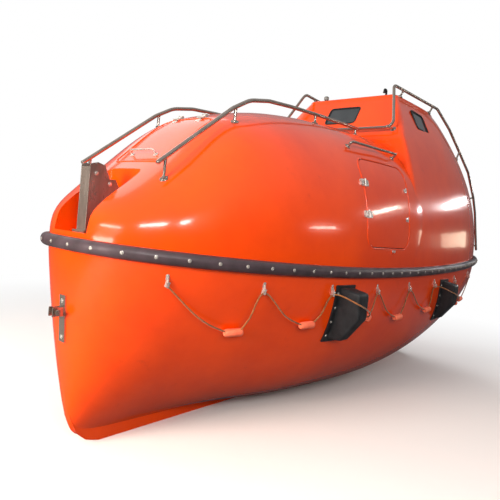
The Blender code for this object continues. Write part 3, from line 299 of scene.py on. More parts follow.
def colour(code):
    """Linear colour of an sRGB hex code."""
    channels = [int(code[i:i + 2], 16) / 255 for i in (1, 3, 5)]
    return tuple(c / 12.92 if c <= 0.04045 else ((c + 0.055) / 1.055) ** 2.4 for c in channels) + (1.0,)


def add_node(tree, kind, settings=None, inputs=None):
    """Add a node, set its own properties, and fill or link its sockets."""
    item = tree.nodes.new(kind)
    for key, value in (settings or {}).items():
        setattr(item, key, value)
    for key, value in (inputs or {}).items():
        if isinstance(value, bpy.types.NodeSocket):
            tree.links.new(value, item.inputs[key])
        else:
            item.inputs[key].default_value = value
    return item


def new_material(name, constants):
    """A material, its tree, its shader with constant values, and the place on the object in metres."""
    material = bpy.data.materials.new(name)
    material.use_nodes = True
    tree = material.node_tree
    shader = tree.nodes["Principled BSDF"]
    for key, value in constants.items():
        shader.inputs[key].default_value = value
    place = add_node(tree, "ShaderNodeTexCoord").outputs["Object"]
    return material, tree, shader, place


def worn(tree, shader, place, shades, patch_mm, roughness, grain_mm, grain_height_mm, stretch=(1, 1, 1)):
    """Colour that drifts between two shades in patches, roughness that drifts with it, and a grain in relief.
    A grain that is too fine to show is drawn at a millimetre or more."""
    laid = add_node(tree, "ShaderNodeMapping", inputs={"Vector": place, "Scale": stretch}).outputs[0]
    patch = add_node(tree, "ShaderNodeTexNoise", inputs={
        "Vector": laid, "Scale": 1000 / patch_mm, "Detail": 5.0, "Roughness": 0.6}).outputs[0]
    share = add_node(tree, "ShaderNodeMapRange", {"clamp": True}, {
        "Value": patch, "From Min": 0.35, "From Max": 0.65}).outputs[0]
    first, second = (colour(shade) if isinstance(shade, str) else shade for shade in shades)
    mixed = add_node(tree, "ShaderNodeMix", {"data_type": "RGBA"}, {
        "Factor": share, 6: first, 7: second}).outputs[2]
    tree.links.new(mixed, shader.inputs["Base Color"])
    least, most = roughness
    polish = add_node(tree, "ShaderNodeMapRange", inputs={
        "Value": patch, "From Min": 0.3, "From Max": 0.7, "To Min": least, "To Max": most}).outputs[0]
    tree.links.new(polish, shader.inputs["Roughness"])
    grain = add_node(tree, "ShaderNodeTexNoise", inputs={
        "Vector": laid, "Scale": 1000 / grain_mm, "Detail": 3.0}).outputs[0]
    bump = add_node(tree, "ShaderNodeBump", inputs={
        "Height": grain, "Strength": 1.0, "Distance": grain_height_mm / 1000}).outputs[0]
    tree.links.new(bump, shader.inputs["Normal"])
    return mixed, grain


def soil(tree, shader, base, place, code, patch_mm, least, most, stretch=(1, 1, 1)):
    """Lay a second colour over the base where a second noise is high, as dust, rust or scuffs."""
    laid = add_node(tree, "ShaderNodeMapping", inputs={"Vector": place, "Scale": stretch}).outputs[0]
    cloud = add_node(tree, "ShaderNodeTexNoise", inputs={
        "Vector": laid, "Scale": 1000 / patch_mm, "Detail": 8.0, "Roughness": 0.7}).outputs[0]
    share = add_node(tree, "ShaderNodeMapRange", {"clamp": True}, {
        "Value": cloud, "From Min": least, "From Max": most}).outputs[0]
    mixed = add_node(tree, "ShaderNodeMix", {"data_type": "RGBA"}, {
        "Factor": share, 6: base, 7: colour(code)}).outputs[2]
    tree.links.new(mixed, shader.inputs["Base Color"])
    return mixed


def weathered(name, constants, wear, dirt=None):
    """A material from its shader's constants, its wear as worn takes it, and its dirt as soil takes it."""
    material, tree, shader, place = new_material(name, constants)
    base, _ = worn(tree, shader, place, *wear)
    if dirt:
        soil(tree, shader, base, place, *dirt)
    return material


@functools.lru_cache(None)
def gelcoat():
    """Polyester gelcoat over glass-fibre laminate, moulded and polished: deep orange under a clear gloss,
    with the faint ripple of the laminate, which makes the lights in it waver. Ripple and orange peel are
    drawn coarser than they are, so that they show."""
    colours = bpy.context.scene.lifeboat_colours
    material, tree, shader, place = new_material(
        "gelcoat_orange", {"IOR": 1.5, "Coat Weight": 0.5, "Coat Roughness": 0.03})
    shades = ((*colours.gelcoat_light, 1.0), (*colours.gelcoat_dark, 1.0))
    mixed, grain = worn(tree, shader, place, shades, 900, (0.13, 0.22), 5, 0.05)
    base = soil(tree, shader, mixed, place, "#B5330F", 260, 0.62, 1.0)
    soil(tree, shader, base, place, "#D0663F", 18, 0.74, 1.1, (1, 1, 0.35))
    ripple = add_node(tree, "ShaderNodeTexNoise", inputs={
        "Vector": place, "Scale": 1000 / 160, "Detail": 2.0}).outputs[0]
    first = add_node(tree, "ShaderNodeBump", inputs={
        "Height": ripple, "Strength": 1.0, "Distance": 0.0011}).outputs[0]
    peel = add_node(tree, "ShaderNodeBump", inputs={
        "Height": grain, "Strength": 1.0, "Distance": 0.00004, "Normal": first}).outputs[0]
    tree.links.new(peel, shader.inputs["Normal"])
    tree.links.new(first, shader.inputs["Coat Normal"])
    return material


@functools.lru_cache(None)
def laminate():
    """Flow-coated glass-fibre laminate, rolled by hand: pale grey and dull, with the weave's lumps."""
    return weathered("laminate_flow_coat", {"IOR": 1.5}, (("#CFCBC2", "#B9B5AC"), 240, (0.45, 0.7), 14, 0.5),
                     ("#A39C90", 60, 0.55, 0.8))


@functools.lru_cache(None)
def stainless():
    """Stainless steel tube and castings, polished and then weathered: brown tea stain dulls the shine."""
    return weathered("stainless_steel", {"Metallic": 0.86},
                     (("#B7AAA0", "#A3968B"), 220, (0.17, 0.27), 1.5, 0.01), ("#86705F", 110, 0.58, 1.0))


@functools.lru_cache(None)
def bright_steel():
    """Cold-headed stainless bolts and small castings, tumbled bright: they catch the light as pale points."""
    return weathered("tumbled_stainless_steel", {"Metallic": 0.7},
                     (("#E2DDD6", "#CFC8C0"), 30, (0.20, 0.34), 1.2, 0.02), ("#9C8676", 14, 0.62, 0.95))


@functools.lru_cache(None)
def hook_steel():
    """Rolled stainless plate, ground and passivated: mirrors the moulding softly, in long mottles."""
    return weathered("ground_stainless_plate", {"Metallic": 0.62},
                     (("#9A8E87", "#7C7069"), 90, (0.22, 0.36), 2.0, 0.03, (1, 1, 0.25)),
                     ("#5E4A3F", 90, 0.56, 0.95, (1, 1, 0.4)))


@functools.lru_cache(None)
def rail_rubber():
    """Extruded EPDM fender: dark purple-grey, half gloss, with drawn lines along it and a bloom of dust."""
    return weathered("epdm_fender", {"IOR": 1.52}, (("#4C3F45", "#3A3034"), 120, (0.30, 0.46), 4, 0.10),
                     ("#6D6162", 22, 0.60, 0.95))


@functools.lru_cache(None)
def pad_rubber():
    """Moulded solid rubber: near black with a grey bloom, pitted from its mould and scuffed pale."""
    return weathered("moulded_rubber", {"IOR": 1.52}, (("#25272A", "#191A1C"), 70, (0.38, 0.62), 6, 0.5),
                     ("#5B6063", 9, 0.62, 0.86))


@functools.lru_cache(None)
def gasket():
    """Extruded EPDM seal: black, soft sheen, fine pores."""
    return weathered("epdm_seal", {"IOR": 1.52}, (("#1B1A1B", "#262425"), 40, (0.45, 0.65), 1.2, 0.05))


@functools.lru_cache(None)
def pane_glass():
    """Tinted safety glass: grey, mirror-smooth, with a film of salt that dulls it in patches."""
    return weathered("tinted_glass", {"IOR": 1.52, "Transmission Weight": 0.45},
                     (("#565C61", "#474D52"), 220, (0.03, 0.09), 60, 0.02), ("#7B8286", 160, 0.55, 1.0))


@functools.lru_cache(None)
def rope_fibre():
    """Laid polypropylene rope: orange-brown, dull, hairy; the strands are modelled and the yarns are bump."""
    return weathered("laid_polypropylene", {"IOR": 1.49, "Sheen Weight": 0.3},
                     (("#A5672F", "#7E4A22"), 25, (0.65, 0.85), 1.2, 0.35), ("#5C3A22", 45, 0.5, 0.8))


@functools.lru_cache(None)
def float_foam():
    """Closed-cell EVA foam: salmon orange, matt, with fine cells and a dirty skin."""
    return weathered("eva_foam", {"IOR": 1.45}, (("#F9805F", "#EE6A4A"), 50, (0.55, 0.75), 2.2, 0.25),
                     ("#B75A45", 16, 0.58, 0.85))


@functools.lru_cache(None)
def black_paint():
    """Epoxy paint over steel: black with brush marks, chipped to grey along its handling marks."""
    return weathered("epoxy_black_paint", {"IOR": 1.5, "Coat Weight": 0.15, "Coat Roughness": 0.2},
                     (("#17181A", "#222427"), 60, (0.30, 0.5), 3, 0.10), ("#4B4B4A", 8, 0.68, 0.8))


@functools.lru_cache(None)
def bronze():
    """Cast and ground aluminium bronze: warm yellow metal with brown patina in its low places."""
    return weathered("cast_bronze", {"Metallic": 1.0}, (("#B98B45", "#A0742F"), 40, (0.22, 0.4), 1.5, 0.04),
                     ("#6C5130", 28, 0.52, 0.75))


@functools.lru_cache(None)
def lamp_lens():
    """Moulded polycarbonate: smoky, slightly milky, with the ribs of a lens."""
    return weathered("polycarbonate_lens", {"IOR": 1.58, "Transmission Weight": 0.45},
                     (("#AEB3B1", "#959B99"), 30, (0.08, 0.18), 5, 0.1))


@functools.lru_cache(None)
def engine_paint():
    """Sprayed machine enamel on cast iron: grey, half gloss, over the casting's grain."""
    return weathered("machine_enamel", {"IOR": 1.5}, (("#6B747A", "#5C646A"), 120, (0.35, 0.5), 4, 0.3),
                     ("#3B3A38", 70, 0.58, 0.8))


@functools.lru_cache(None)
def floor_paint():
    """Matt studio paint on a floor: off-white with the faintest mottle, running out into the white backdrop.
    To every ray but the camera's it is a mid grey, so the boat's underside is as dark as in a hall."""
    material, tree, shader, place = new_material("studio_paint", {"IOR": 1.45})
    worn(tree, shader, place, ("#FBFAF9", "#F8F7F6"), 1800, (0.75, 0.9), 12, 0.1)
    reach = add_node(tree, "ShaderNodeVectorMath", {"operation": "LENGTH"}, {0: place}).outputs["Value"]
    share = add_node(tree, "ShaderNodeMapRange", {"clamp": True, "interpolation_type": "SMOOTHSTEP"}, {
        "Value": reach, "From Min": FLOOR_FADE[0], "From Max": FLOOR_FADE[1]}).outputs[0]
    white = add_node(tree, "ShaderNodeEmission", inputs={"Color": (1, 1, 1, 1), "Strength": 1.0}).outputs[0]
    seen = add_node(tree, "ShaderNodeMixShader", inputs={0: share, 1: shader.outputs[0], 2: white}).outputs[0]
    grey = add_node(tree, "ShaderNodeBsdfDiffuse", inputs={"Color": (0.16, 0.16, 0.17, 1)}).outputs[0]
    ray = add_node(tree, "ShaderNodeLightPath").outputs["Is Camera Ray"]
    both = add_node(tree, "ShaderNodeMixShader", inputs={0: ray, 1: grey, 2: seen}).outputs[0]
    tree.links.new(both, tree.nodes["Material Output"].inputs["Surface"])
    return material


# Form

def smooth(rows, column, x):
    """Read a column of a table at x, along a curve through its rows."""
    xs = [row[0] for row in rows]
    vs = [row[column] for row in rows]
    if x <= xs[0]:
        return vs[0]
    if x >= xs[-1]:
        return vs[-1]
    i = max(k for k in range(len(xs) - 1) if xs[k] <= x)
    slopes = [(vs[k + 1] - vs[k]) / (xs[k + 1] - xs[k]) for k in range(len(xs) - 1)]

    def tangent(k):
        if k == 0 or k == len(xs) - 1:
            return slopes[0] if k == 0 else slopes[-1]
        a, b = slopes[k - 1], slopes[k]
        return 0.0 if a * b <= 0 else 2 * a * b / (a + b)

    h = xs[i + 1] - xs[i]
    t = (x - xs[i]) / h
    start = h * (t ** 3 - 2 * t * t + t) * tangent(i)
    end = h * (t ** 3 - t * t) * tangent(i + 1)
    return vs[i] + (vs[i + 1] - vs[i]) * t * t * (3 - 2 * t) + start + end


def resample(points, count):
    """Points at even steps along a polyline, both ends kept."""
    points = np.array(points, float)
    along = np.concatenate(([0.0], np.cumsum(np.linalg.norm(np.diff(points, axis=0), axis=1))))
    steps = np.linspace(0.0, along[-1], count + 1)
    return [tuple(row) for row in np.column_stack([np.interp(steps, along, column) for column in points.T])]


@functools.lru_cache(None)
def plan_outline(inset=0.0, steps=RIM_STEPS):
    """Port side of the plan at the joint, stem to stern, as (x, y)."""
    fine = []
    for step in range(PLAN_STEPS + 1):
        turn = math.pi * step / PLAN_STEPS
        c, s = math.cos(turn), math.sin(turn)
        reach, power = (BOW_REACH - inset, BOW_ROUND) if c >= 0 else (STERN_REACH - inset, STERN_ROUND)
        fine.append((WIDEST_X + math.copysign(reach * abs(c) ** (2 / power), c),
                     (HALF_BEAM - inset) * max(s, 0.0) ** (2 / power)))
    fine[0] = (fine[0][0], 0.0)
    fine[-1] = (fine[-1][0], 0.0)
    return resample(fine, steps)


def half_breadth(x):
    """Half the boat's breadth at the joint."""
    rim = np.array(plan_outline(0.0, RIM_STEPS * 4))[::-1]
    return float(np.interp(x, rim[:, 0], rim[:, 1]))


def sheer(x):
    """Height of the joint of hull and canopy."""
    if x >= WIDEST_X:
        return SHEER_Z + BOW_RISE * ((x - WIDEST_X) / BOW_REACH) ** 2
    return SHEER_Z + STERN_RISE * ((WIDEST_X - x) / STERN_REACH) ** 2


def hull_bottom(x):
    """Height of the hull's underside beside the keel, which rises to the stern."""
    if x >= RUN_START_X:
        return BILGE_Z
    return BILGE_Z + RUN_RISE * ((RUN_START_X - x) / (RUN_START_X - STERN_FOOT_X)) ** RUN_POWER


def object_from(name, bm, *materials):
    """Turn a bmesh into an object of the scene with its materials."""
    mesh = bpy.data.meshes.new(name)
    bm.to_mesh(mesh)
    bm.free()
    for material in materials:
        mesh.materials.append(material)
    item = bpy.data.objects.new(name, mesh)
    bpy.context.scene.collection.objects.link(item)
    return item


def solid_object(name, bm, inside=False):
    """A closed object whose faces point out; inside marks its faces as the shell's inner side."""
    bmesh.ops.remove_doubles(bm, verts=bm.verts, dist=1e-6)
    bmesh.ops.dissolve_degenerate(bm, edges=bm.edges, dist=1e-6)
    bmesh.ops.recalc_face_normals(bm, faces=bm.faces)
    if bm.calc_volume(signed=True) < 0:
        bmesh.ops.reverse_faces(bm, faces=bm.faces)
    for face in bm.faces:
        face.material_index = 1 if inside else 0
    return object_from(name, bm, gelcoat(), laminate())


def loft(name, loops, inside=False):
    """Skin a row of closed loops and close both ends with flat faces."""
    n = len(loops[0])
    points = [point for loop in loops for point in loop]
    faces = []
    for a in range(len(loops) - 1):
        for i in range(n):
            before = (i - 1) % n
            faces.append((a * n + before, a * n + i, (a + 1) * n + i, (a + 1) * n + before))
    faces.append(tuple(range(n)))
    faces.append(tuple(range((len(loops) - 1) * n, len(loops) * n)))
    mesh = bpy.data.meshes.new(name)
    mesh.from_pydata(points, [], faces)
    bm = bmesh.new()
    bm.from_mesh(mesh)
    return solid_object(name, bm, inside)


def combine(item, tool, operation, keep=False):
    """Add, cut or intersect item with tool, and drop the tool unless it is kept."""
    step = item.modifiers.new("solid", "BOOLEAN")
    step.operation = operation
    step.solver = "MANIFOLD"
    step.object = tool
    bpy.context.view_layer.update()
    graph = bpy.context.evaluated_depsgraph_get()
    mesh = bpy.data.meshes.new_from_object(item.evaluated_get(graph))
    item.modifiers.clear()
    if not mesh.polygons:
        raise RuntimeError(f"cutting {item.name} with {tool.name} left nothing")
    item.data = mesh
    if not keep:
        bpy.data.objects.remove(tool, do_unlink=True)
    return item


def copy_of(item, name):
    """An object like another, with its own mesh."""
    twin = bpy.data.objects.new(name, item.data.copy())
    bpy.context.scene.collection.objects.link(twin)
    return twin


def surface_of(item):
    """An object's faces, to cast rays at."""
    bm = bmesh.new()
    bm.from_mesh(item.data)
    tree = BVHTree.FromBMesh(bm)
    bm.free()
    return tree


def facing_frame(facing, centre):
    """A place whose axes run across an opening, up it and out of it."""
    across, up = (Vector(v).normalized() for v in FACINGS[facing])
    place = Matrix((across, up, across.cross(up))).transposed().to_4x4()
    place.translation = centre
    return place


def rounded_outline(width, height, radius, steps=8):
    """A rectangle with rounded corners, as points round its middle."""
    points = []
    for cx, cy, first in ((1, 1, 0), (-1, 1, 90), (-1, -1, 180), (1, -1, 270)):
        for step in range(steps + 1):
            turn = math.radians(first + 90 * step / steps)
            points.append((cx * (width / 2 - radius) + radius * math.cos(turn),
                           cy * (height / 2 - radius) + radius * math.sin(turn)))
    return points


def prism(name, outline, low, high, place, inside=False):
    """An outline drawn out between two heights of a place, as a closed object."""
    loops = [[tuple(place @ Vector((u, v, depth))) for u, v in outline] for depth in (low, high)]
    return loft(name, loops, inside)


def hull_body(name, inset=0.0, floor=None, lift=0.0):
    """The hull as a closed body, or the hollow inside it when it is inset."""
    rim = plan_outline(inset)
    front, back = rim[0][0], rim[-1][0]
    rows = [[(x, y, sheer(x) + lift) for x, y in rim]] if lift else []
    for level in range(HULL_LEVELS + 1):
        turn = math.pi / 2 * level / HULL_LEVELS
        c, s = (0.0 if level == HULL_LEVELS else math.cos(turn)), math.sin(turn)
        row = []
        for x, y in rim:
            pull = (front - STEM_FOOT_X) / front ** 3 if x > 0 else (back - STERN_FOOT_X) / back ** 3
            foot_x = x - pull * x ** 3
            fullness, profile = smooth(HULL_FORM, 1, x), smooth(HULL_FORM, 2, x)
            z = sheer(x) - (sheer(x) - hull_bottom(foot_x) - inset) * s ** (2 / fullness)
            z = z if floor is None else max(z, floor)
            row.append((foot_x + (x - foot_x) * c ** (2 / profile), y * c ** (2 / fullness), z))
        rows.append(row)
    n = len(rim)
    points = [p for row in rows for p in row] + [(x, -y, z) for row in rows for x, y, z in row]
    half = len(rows) * n
    faces = []
    for a in range(len(rows) - 1):
        for i in range(n - 1):
            quad = (a * n + i, a * n + i + 1, (a + 1) * n + i + 1, (a + 1) * n + i)
            faces += [quad, tuple(half + k for k in reversed(quad))]
    for row in (0, len(rows) - 1):
        for i in range(n - 1):
            faces.append((row * n + i, row * n + i + 1, half + row * n + i + 1, half + row * n + i))
    bm = bmesh.new()
    verts = [bm.verts.new(p) for p in points]
    for face in faces:
        corners = [verts[k] for k in face]
        if len({tuple(round(c, 7) for c in v.co) for v in corners}) >= 3:
            bm.faces.new(corners)
    return solid_object(name, bm, inside=floor is not None)


def keel_fin():
    """Keel, forefoot and skeg, with the rounded forefoot in side view."""
    # along the boat, height above the keel's foot
    stem = ((3.028, 0.50), (3.012, 0.36), (2.985, 0.22), (2.93, 0.10), (2.85, 0.03), (2.74, 0.0))
    heel = ((-2.50, 0.0), (-2.50, 0.05), (-2.02, 0.05), (-1.93, 0.12), (-1.90, 0.60), (-1.20, 0.30),
            (0.5, 0.10), (2.55, 0.12), (2.85, 0.50))
    rounded = bent([(x, 0, z) for x, z in stem], 0.09, 5)
    outline = [(p.x, KEEL_Z + p.z) for p in rounded] + [(x, KEEL_Z + z) for x, z in heel]
    return prism("keel", outline, -KEEL_HALF, KEEL_HALF, SIDE_VIEW)


def dome_body(name, inset=0.0, foot=SKIN_FOOT_Z):
    """The crowned part of the canopy, from the stem to inside the tower."""
    stations = [x for x, _ in plan_outline() if CANOPY_TAIL_X < x < NOSE_X - inset - 0.01]
    loops = []
    for x in [NOSE_X - inset] + stations + [CANOPY_TAIL_X]:
        tail = min(max(x / CANOPY_TAIL_X, 0.0), 1.0)
        narrowing = 1 - TAIL_NARROWING * tail * tail * (3 - 2 * tail)
        breadth = (half_breadth(x) - inset - CANOPY_INSET) * narrowing
        base = sheer(x) + JOINT_RISE
        height = max(smooth(CROWN, 1, x) - inset - base, 0.02)
        power = 2 / smooth(CROWN, 2, x)
        port = [(x, breadth, foot)]
        for level in range(DOME_LEVELS + 1):
            turn = math.pi / 2 * level / DOME_LEVELS
            c = 0.0 if level == DOME_LEVELS else math.cos(turn)
            port.append((x, breadth * c ** power, base + height * math.sin(turn) ** power))
        loops.append(port + [(px, -py, pz) for px, py, pz in reversed(port[:-1])])
    return loft(name, loops, inset > 0)


def tower_ring(z, inset):
    """One level of the tower as a closed loop, from the middle of its front round by port."""
    part = min(max((z - TOWER_FOOT_Z) / (ROOF_Z - TOWER_FOOT_Z), 0.0), 1.0)
    lean = min(max((z - KNUCKLE_Z) / (ROOF_Z - KNUCKLE_Z), 0.0), 1.0)
    front = TOWER_FRONT_X + (ROOF_FRONT_X - TOWER_FRONT_X) * lean - inset
    back = smooth(STERN_FACE, 1, z) + inset
    power = smooth(STERN_FACE, 2, z)
    foot = HALF_BEAM - CANOPY_INSET

    def width(x):
        along = min(max((front - x) / FLARE_REACH, 0.0), 1.0)
        full = foot - (foot - ROOF_HALF - ROOF_FLARE * along) * part ** SIDE_BULGE
        stern = min((WIDEST_X - x) / (WIDEST_X - back), 1.0)
        return (full - inset) * (1 - stern ** power) ** (1 / power)

    side = width(front) - TOWER_CORNER
    port = [(front, side * k / 8) for k in range(8)]
    start = front - TOWER_CORNER
    for turn in (0, 15, 30, 45, 60, 75):
        c, s = math.cos(math.radians(turn)), math.sin(math.radians(turn))
        port.append((start + TOWER_CORNER * c, side + TOWER_CORNER * s))
    fine = []
    for step in range(SIDE_STEPS + 1):
        x = start + (back - start) * math.sin(math.pi / 2 * step / SIDE_STEPS) ** 0.5
        fine.append((x, width(x) if step < SIDE_STEPS else 0.0))
    port += resample(fine, TOWER_STEPS)
    return [(x, y, z) for x, y in port] + [(x, -y, z) for x, y in reversed(port[1:-1])]


def tower_body(name, inset=0.0, foot=SKIN_FOOT_Z):
    """The tower from its foot to the roof's rounded edge, as a closed body."""
    top = ROOF_Z - inset
    levels = [TOWER_FOOT_Z]
    for low, high in ((TOWER_FOOT_Z, KNUCKLE_Z), (KNUCKLE_Z, top - ROOF_EDGE)):
        count = round((high - low) / TOWER_RISE)
        levels += [low + (high - low) * k / count for k in range(1, count + 1)]
    loops = [[(x, y, foot) for x, y, _ in tower_ring(TOWER_FOOT_Z, inset)]]
    loops += [tower_ring(z, inset) for z in levels]
    middle = (ROOF_FRONT_X + ROOF_AFT_X) / 2
    edge = loops[-1]
    for turn in (20, 40, 60, 75, 90):
        s, c = math.sin(math.radians(turn)), 1 - math.cos(math.radians(turn))
        loops.append([(middle + (x - middle) * (1 - 0.04 * c), y * (1 - 0.05 * c), top - ROOF_EDGE * (1 - s))
                      for x, y, _ in edge])
    return loft(name, loops, inset > 0)


def below_joint():
    """A slab whose top follows the joint, to trim the canopy's foot."""
    stations = [CLEAR_X] + [x for x, _ in plan_outline()] + [-CLEAR_X]
    loops = []
    for x in stations:
        z = sheer(min(max(x, STERN_X), BOW_X)) + JOINT_GAP
        loops.append([(x, CLEAR_Y, z), (x, -CLEAR_Y, z), (x, -CLEAR_Y, KEEL_Z), (x, CLEAR_Y, KEEL_Z)])
    return loft("foot", loops)


def cut_wells(body, margin, deep):
    """Cut the hook wells, or leave their walls standing in the hollow with a margin round them."""
    half = WELL_HALF + margin
    for name, low_x, high_x, floor in (("bow_well", BOW_WELL_X - margin, CLEAR_X, BOW_WELL_FLOOR),
                                       ("stern_well", -CLEAR_X, STERN_WELL_X + margin, STERN_WELL_FLOOR)):
        outline = rounded_outline(high_x - low_x, 2 * half, WELL_CORNER + margin / 2)
        place = Matrix.Translation(((low_x + high_x) / 2, 0, 0))
        foot = HOLLOW_FOOT_Z if deep else floor
        combine(body, prism(name, outline, foot, CLEAR_Z, place, deep), "DIFFERENCE")


@functools.lru_cache(None)
def canopy_skins():
    """The canopy with its wells, hollow, doors, lids and windows cut, the panels, and its outer surface."""
    body = combine(dome_body("canopy_skin"), tower_body("tower"), "UNION")
    combine(body, below_joint(), "DIFFERENCE")
    cut_wells(body, 0.0, False)
    outer = surface_of(body)
    hollow = combine(dome_body("hollow", SHELL_WALL, HOLLOW_FOOT_Z),
                     tower_body("tower_hollow", SHELL_WALL, TOWER_HOLLOW_FOOT_Z), "UNION")
    cut_wells(hollow, SHELL_WALL, True)
    combine(body, hollow, "DIFFERENCE")
    panels = {}
    for name, (x, y, z, facing, width, height, radius, depth, reach) in OPENINGS.items():
        place = facing_frame(facing, (x, y, z))
        inner = prism("inner", rounded_outline(width, height, radius), -depth, reach, place)
        panels[name] = combine(copy_of(body, name + "_skin"), inner, "INTERSECT")
        wider = rounded_outline(width + 2 * SWING_GAP, height + 2 * SWING_GAP, radius + SWING_GAP)
        combine(body, prism("outer", wider, -depth - 0.01, reach + 0.01, place), "DIFFERENCE")
    for x, y, z, facing, width, height, radius in WINDOWS.values():
        place = facing_frame(facing, (x, y, z))
        hole = prism("light", rounded_outline(width, height, radius), -WINDOW_CUT[0], WINDOW_CUT[1], place)
        combine(body, hole, "DIFFERENCE")
    return body, panels, outer


@functools.lru_cache(None)
def hull_skins():
    """The hull with its keel and hollow, its outer surface, and its solid form to trim what sits on it."""
    body = hull_body("hull_skin")
    outer = surface_of(body)
    seat = copy_of(body, "seat")
    combine(body, keel_fin(), "UNION")
    cavity = hull_body("cavity", HULL_WALL, FLOOR_Z, lift=0.06)
    combine(body, cavity, "DIFFERENCE")
    return body, outer, seat


def hit(tree, start, direction):
    """Where a ray from start meets a surface, and the outward normal there."""
    place, normal, _, _ = tree.ray_cast(Vector(start), Vector(direction).normalized())
    if place is None:
        raise RuntimeError(f"nothing lies along {tuple(direction)} from {tuple(start)}")
    return place, normal if normal.dot(Vector(direction)) < 0 else -normal


def side_hit(tree, side, x, z):
    """Where the skin of one side lies at a station and height, and the outward normal there."""
    return hit(tree, (x, side * BESIDE, z), (0, -side, 0))


# Mesh tools

def bent(points, radius, steps=8):
    """Replace each inner corner of a polyline by an arc."""
    result = [Vector(points[0])]
    for before, corner, after in zip(points, points[1:], points[2:]):
        corner = Vector(corner)
        a = (Vector(before) - corner).normalized()
        b = (Vector(after) - corner).normalized()
        reach = min(radius / math.tan(a.angle(b) / 2), 0.45 * (Vector(before) - corner).length,
                    0.45 * (Vector(after) - corner).length)
        start, end = corner + a * reach, corner + b * reach
        for step in range(steps + 1):
            t = step / steps
            result.append(start * (1 - t) ** 2 + corner * 2 * t * (1 - t) + end * t * t)
    result.append(Vector(points[-1]))
    return result


def smooth_route(points, spacing):
    """Points along a smooth curve through the route's own points."""
    ends = [points[0] * 2 - points[1]] + points + [points[-1] * 2 - points[-2]]
    result = []
    for p0, p1, p2, p3 in zip(ends, ends[1:], ends[2:], ends[3:]):
        steps = max(2, round((p2 - p1).length / spacing))
        for step in range(steps):
            t = step / steps
            result.append(0.5 * (2 * p1 + (p2 - p0) * t + (2 * p0 - 5 * p1 + 4 * p2 - p3) * t * t
                                 + (3 * p1 - 3 * p2 + p3 - p0) * t ** 3))
    result.append(points[-1])
    return result


def axis_place(start, direction):
    """A place whose third axis runs from start along direction."""
    place = Vector(direction).to_track_quat("Z", "Y").to_matrix().to_4x4()
    place.translation = start
    return place


def ring(radius, sides):
    """Points of a circle."""
    return [(radius * math.cos(2 * math.pi * k / sides), radius * math.sin(2 * math.pi * k / sides))
            for k in range(sides)]


def rings_to_faces(bm, rings, closed=False):
    """Skin a row of rings, and close its ends with flat faces or to each other."""
    rows = [[bm.verts.new(p) for p in row] for row in rings]
    pairs = list(zip(rows, rows[1:])) + ([(rows[-1], rows[0])] if closed else [])
    for a, b in pairs:
        for i in range(len(a)):
            bm.faces.new((a[i - 1], a[i], b[i], b[i - 1]))
    if not closed:
        bm.faces.new(rows[0][::-1])
        bm.faces.new(rows[-1])


def sweep(bm, points, profile, closed=False, outs=None):
    """Draw a profile of (out, across) along points. Where outs isn't given it turns as little as it can."""
    points = [Vector(p) for p in points]
    count = len(points)
    rings = []
    out = None
    for k, point in enumerate(points):
        before = points[k - 1] if closed or k else point
        after = points[(k + 1) % count] if closed or k < count - 1 else point
        along = (after - before).normalized()
        if outs is not None:
            out = Vector(outs[k])
        elif out is None:
            out = along.orthogonal()
        out = (out - along * out.dot(along)).normalized()
        across = along.cross(out)
        rings.append([point + out * a + across * b for a, b in profile])
    rings_to_faces(bm, rings, closed)


def lathe(bm, place, profile, sides):
    """Turn a profile of (radius, height) about the place's third axis."""
    rings_to_faces(bm, [[place @ Vector((u, v, h)) for u, v in ring(r, sides)] for r, h in profile])


def slab(bm, place, outline, low, high):
    """Extrude an outline between two heights of a place."""
    rings_to_faces(bm, [[place @ Vector((u, v, h)) for u, v in outline] for h in (low, high)])


def bolt(bm, point, normal, radius):
    """A washer and a domed bolt head with its socket."""
    place = axis_place(point, normal)
    lathe(bm, place, ((radius * 1.55, -0.002), (radius * 1.55, 0.0012), (radius * 1.4, 0.0018),
                      (radius * 0.9, 0.0018)), 16)
    head = radius * 0.62
    lathe(bm, place, ((radius * 0.98, 0.0), (radius, head * 0.6), (radius * 0.85, head),
                      (radius * 0.4, head * 1.12), (radius * 0.36, head * 0.7)), 12)


def foot_flange(bm, point, normal, radius=0.030):
    """The round foot of a stanchion, with its weld and three screws."""
    place = axis_place(point, normal)
    lathe(bm, place, ((radius, -0.004), (radius, 0.004), (radius * 0.96, 0.0055), (radius * 0.62, 0.006),
                      (radius * 0.50, 0.010), (radius * 0.42, 0.018)), 28)
    for k in range(3):
        turn = 2 * math.pi * (k + 0.25) / 3
        centre = place @ Vector((radius * 0.78 * math.cos(turn), radius * 0.78 * math.sin(turn), 0.0055))
        lathe(bm, axis_place(centre, normal),
              ((0.0042, -0.002), (0.0042, 0.001), (0.0030, 0.0024), (0.0010, 0.0026)), 10)


def across_boat(side, x=0.0):
    """A place at a station whose first axis runs out to one side, its second up and its third forward."""
    return Matrix(((0, 0, 1, x), (side, 0, 0, 0), (0, 1, 0, 0), (0, 0, 0, 1)))


def ease(item, width, sharp, segments):
    """Round the edges where faces meet at more than the sharp angle."""
    step = item.modifiers.new("eased_edges", "BEVEL")
    step.width = width
    step.segments = segments
    step.limit_method = "ANGLE"
    step.angle_limit = math.radians(sharp)


def piece(name, bm, material, body, replaced=(), bevel=0.0, sharp=35, segments=2):
    """Close a bmesh into an object that rides on a body, with eased edges."""
    bmesh.ops.recalc_face_normals(bm, faces=bm.faces)
    return settle(object_from(name, bm, material), body, replaced, bevel, sharp, segments)


def settle(item, body, replaced=(), bevel=0.0, sharp=35, segments=2):
    """Smooth an object's shading, let it ride on its body and hide the solids it stands for."""
    if bevel:
        ease(item, bevel, sharp, segments)
    item.data.shade_smooth()
    item.data.set_sharp_from_angle(angle=math.radians(sharp if not bevel else 50))
    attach(item, body)
    if replaced:
        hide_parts(*replaced)
    return item


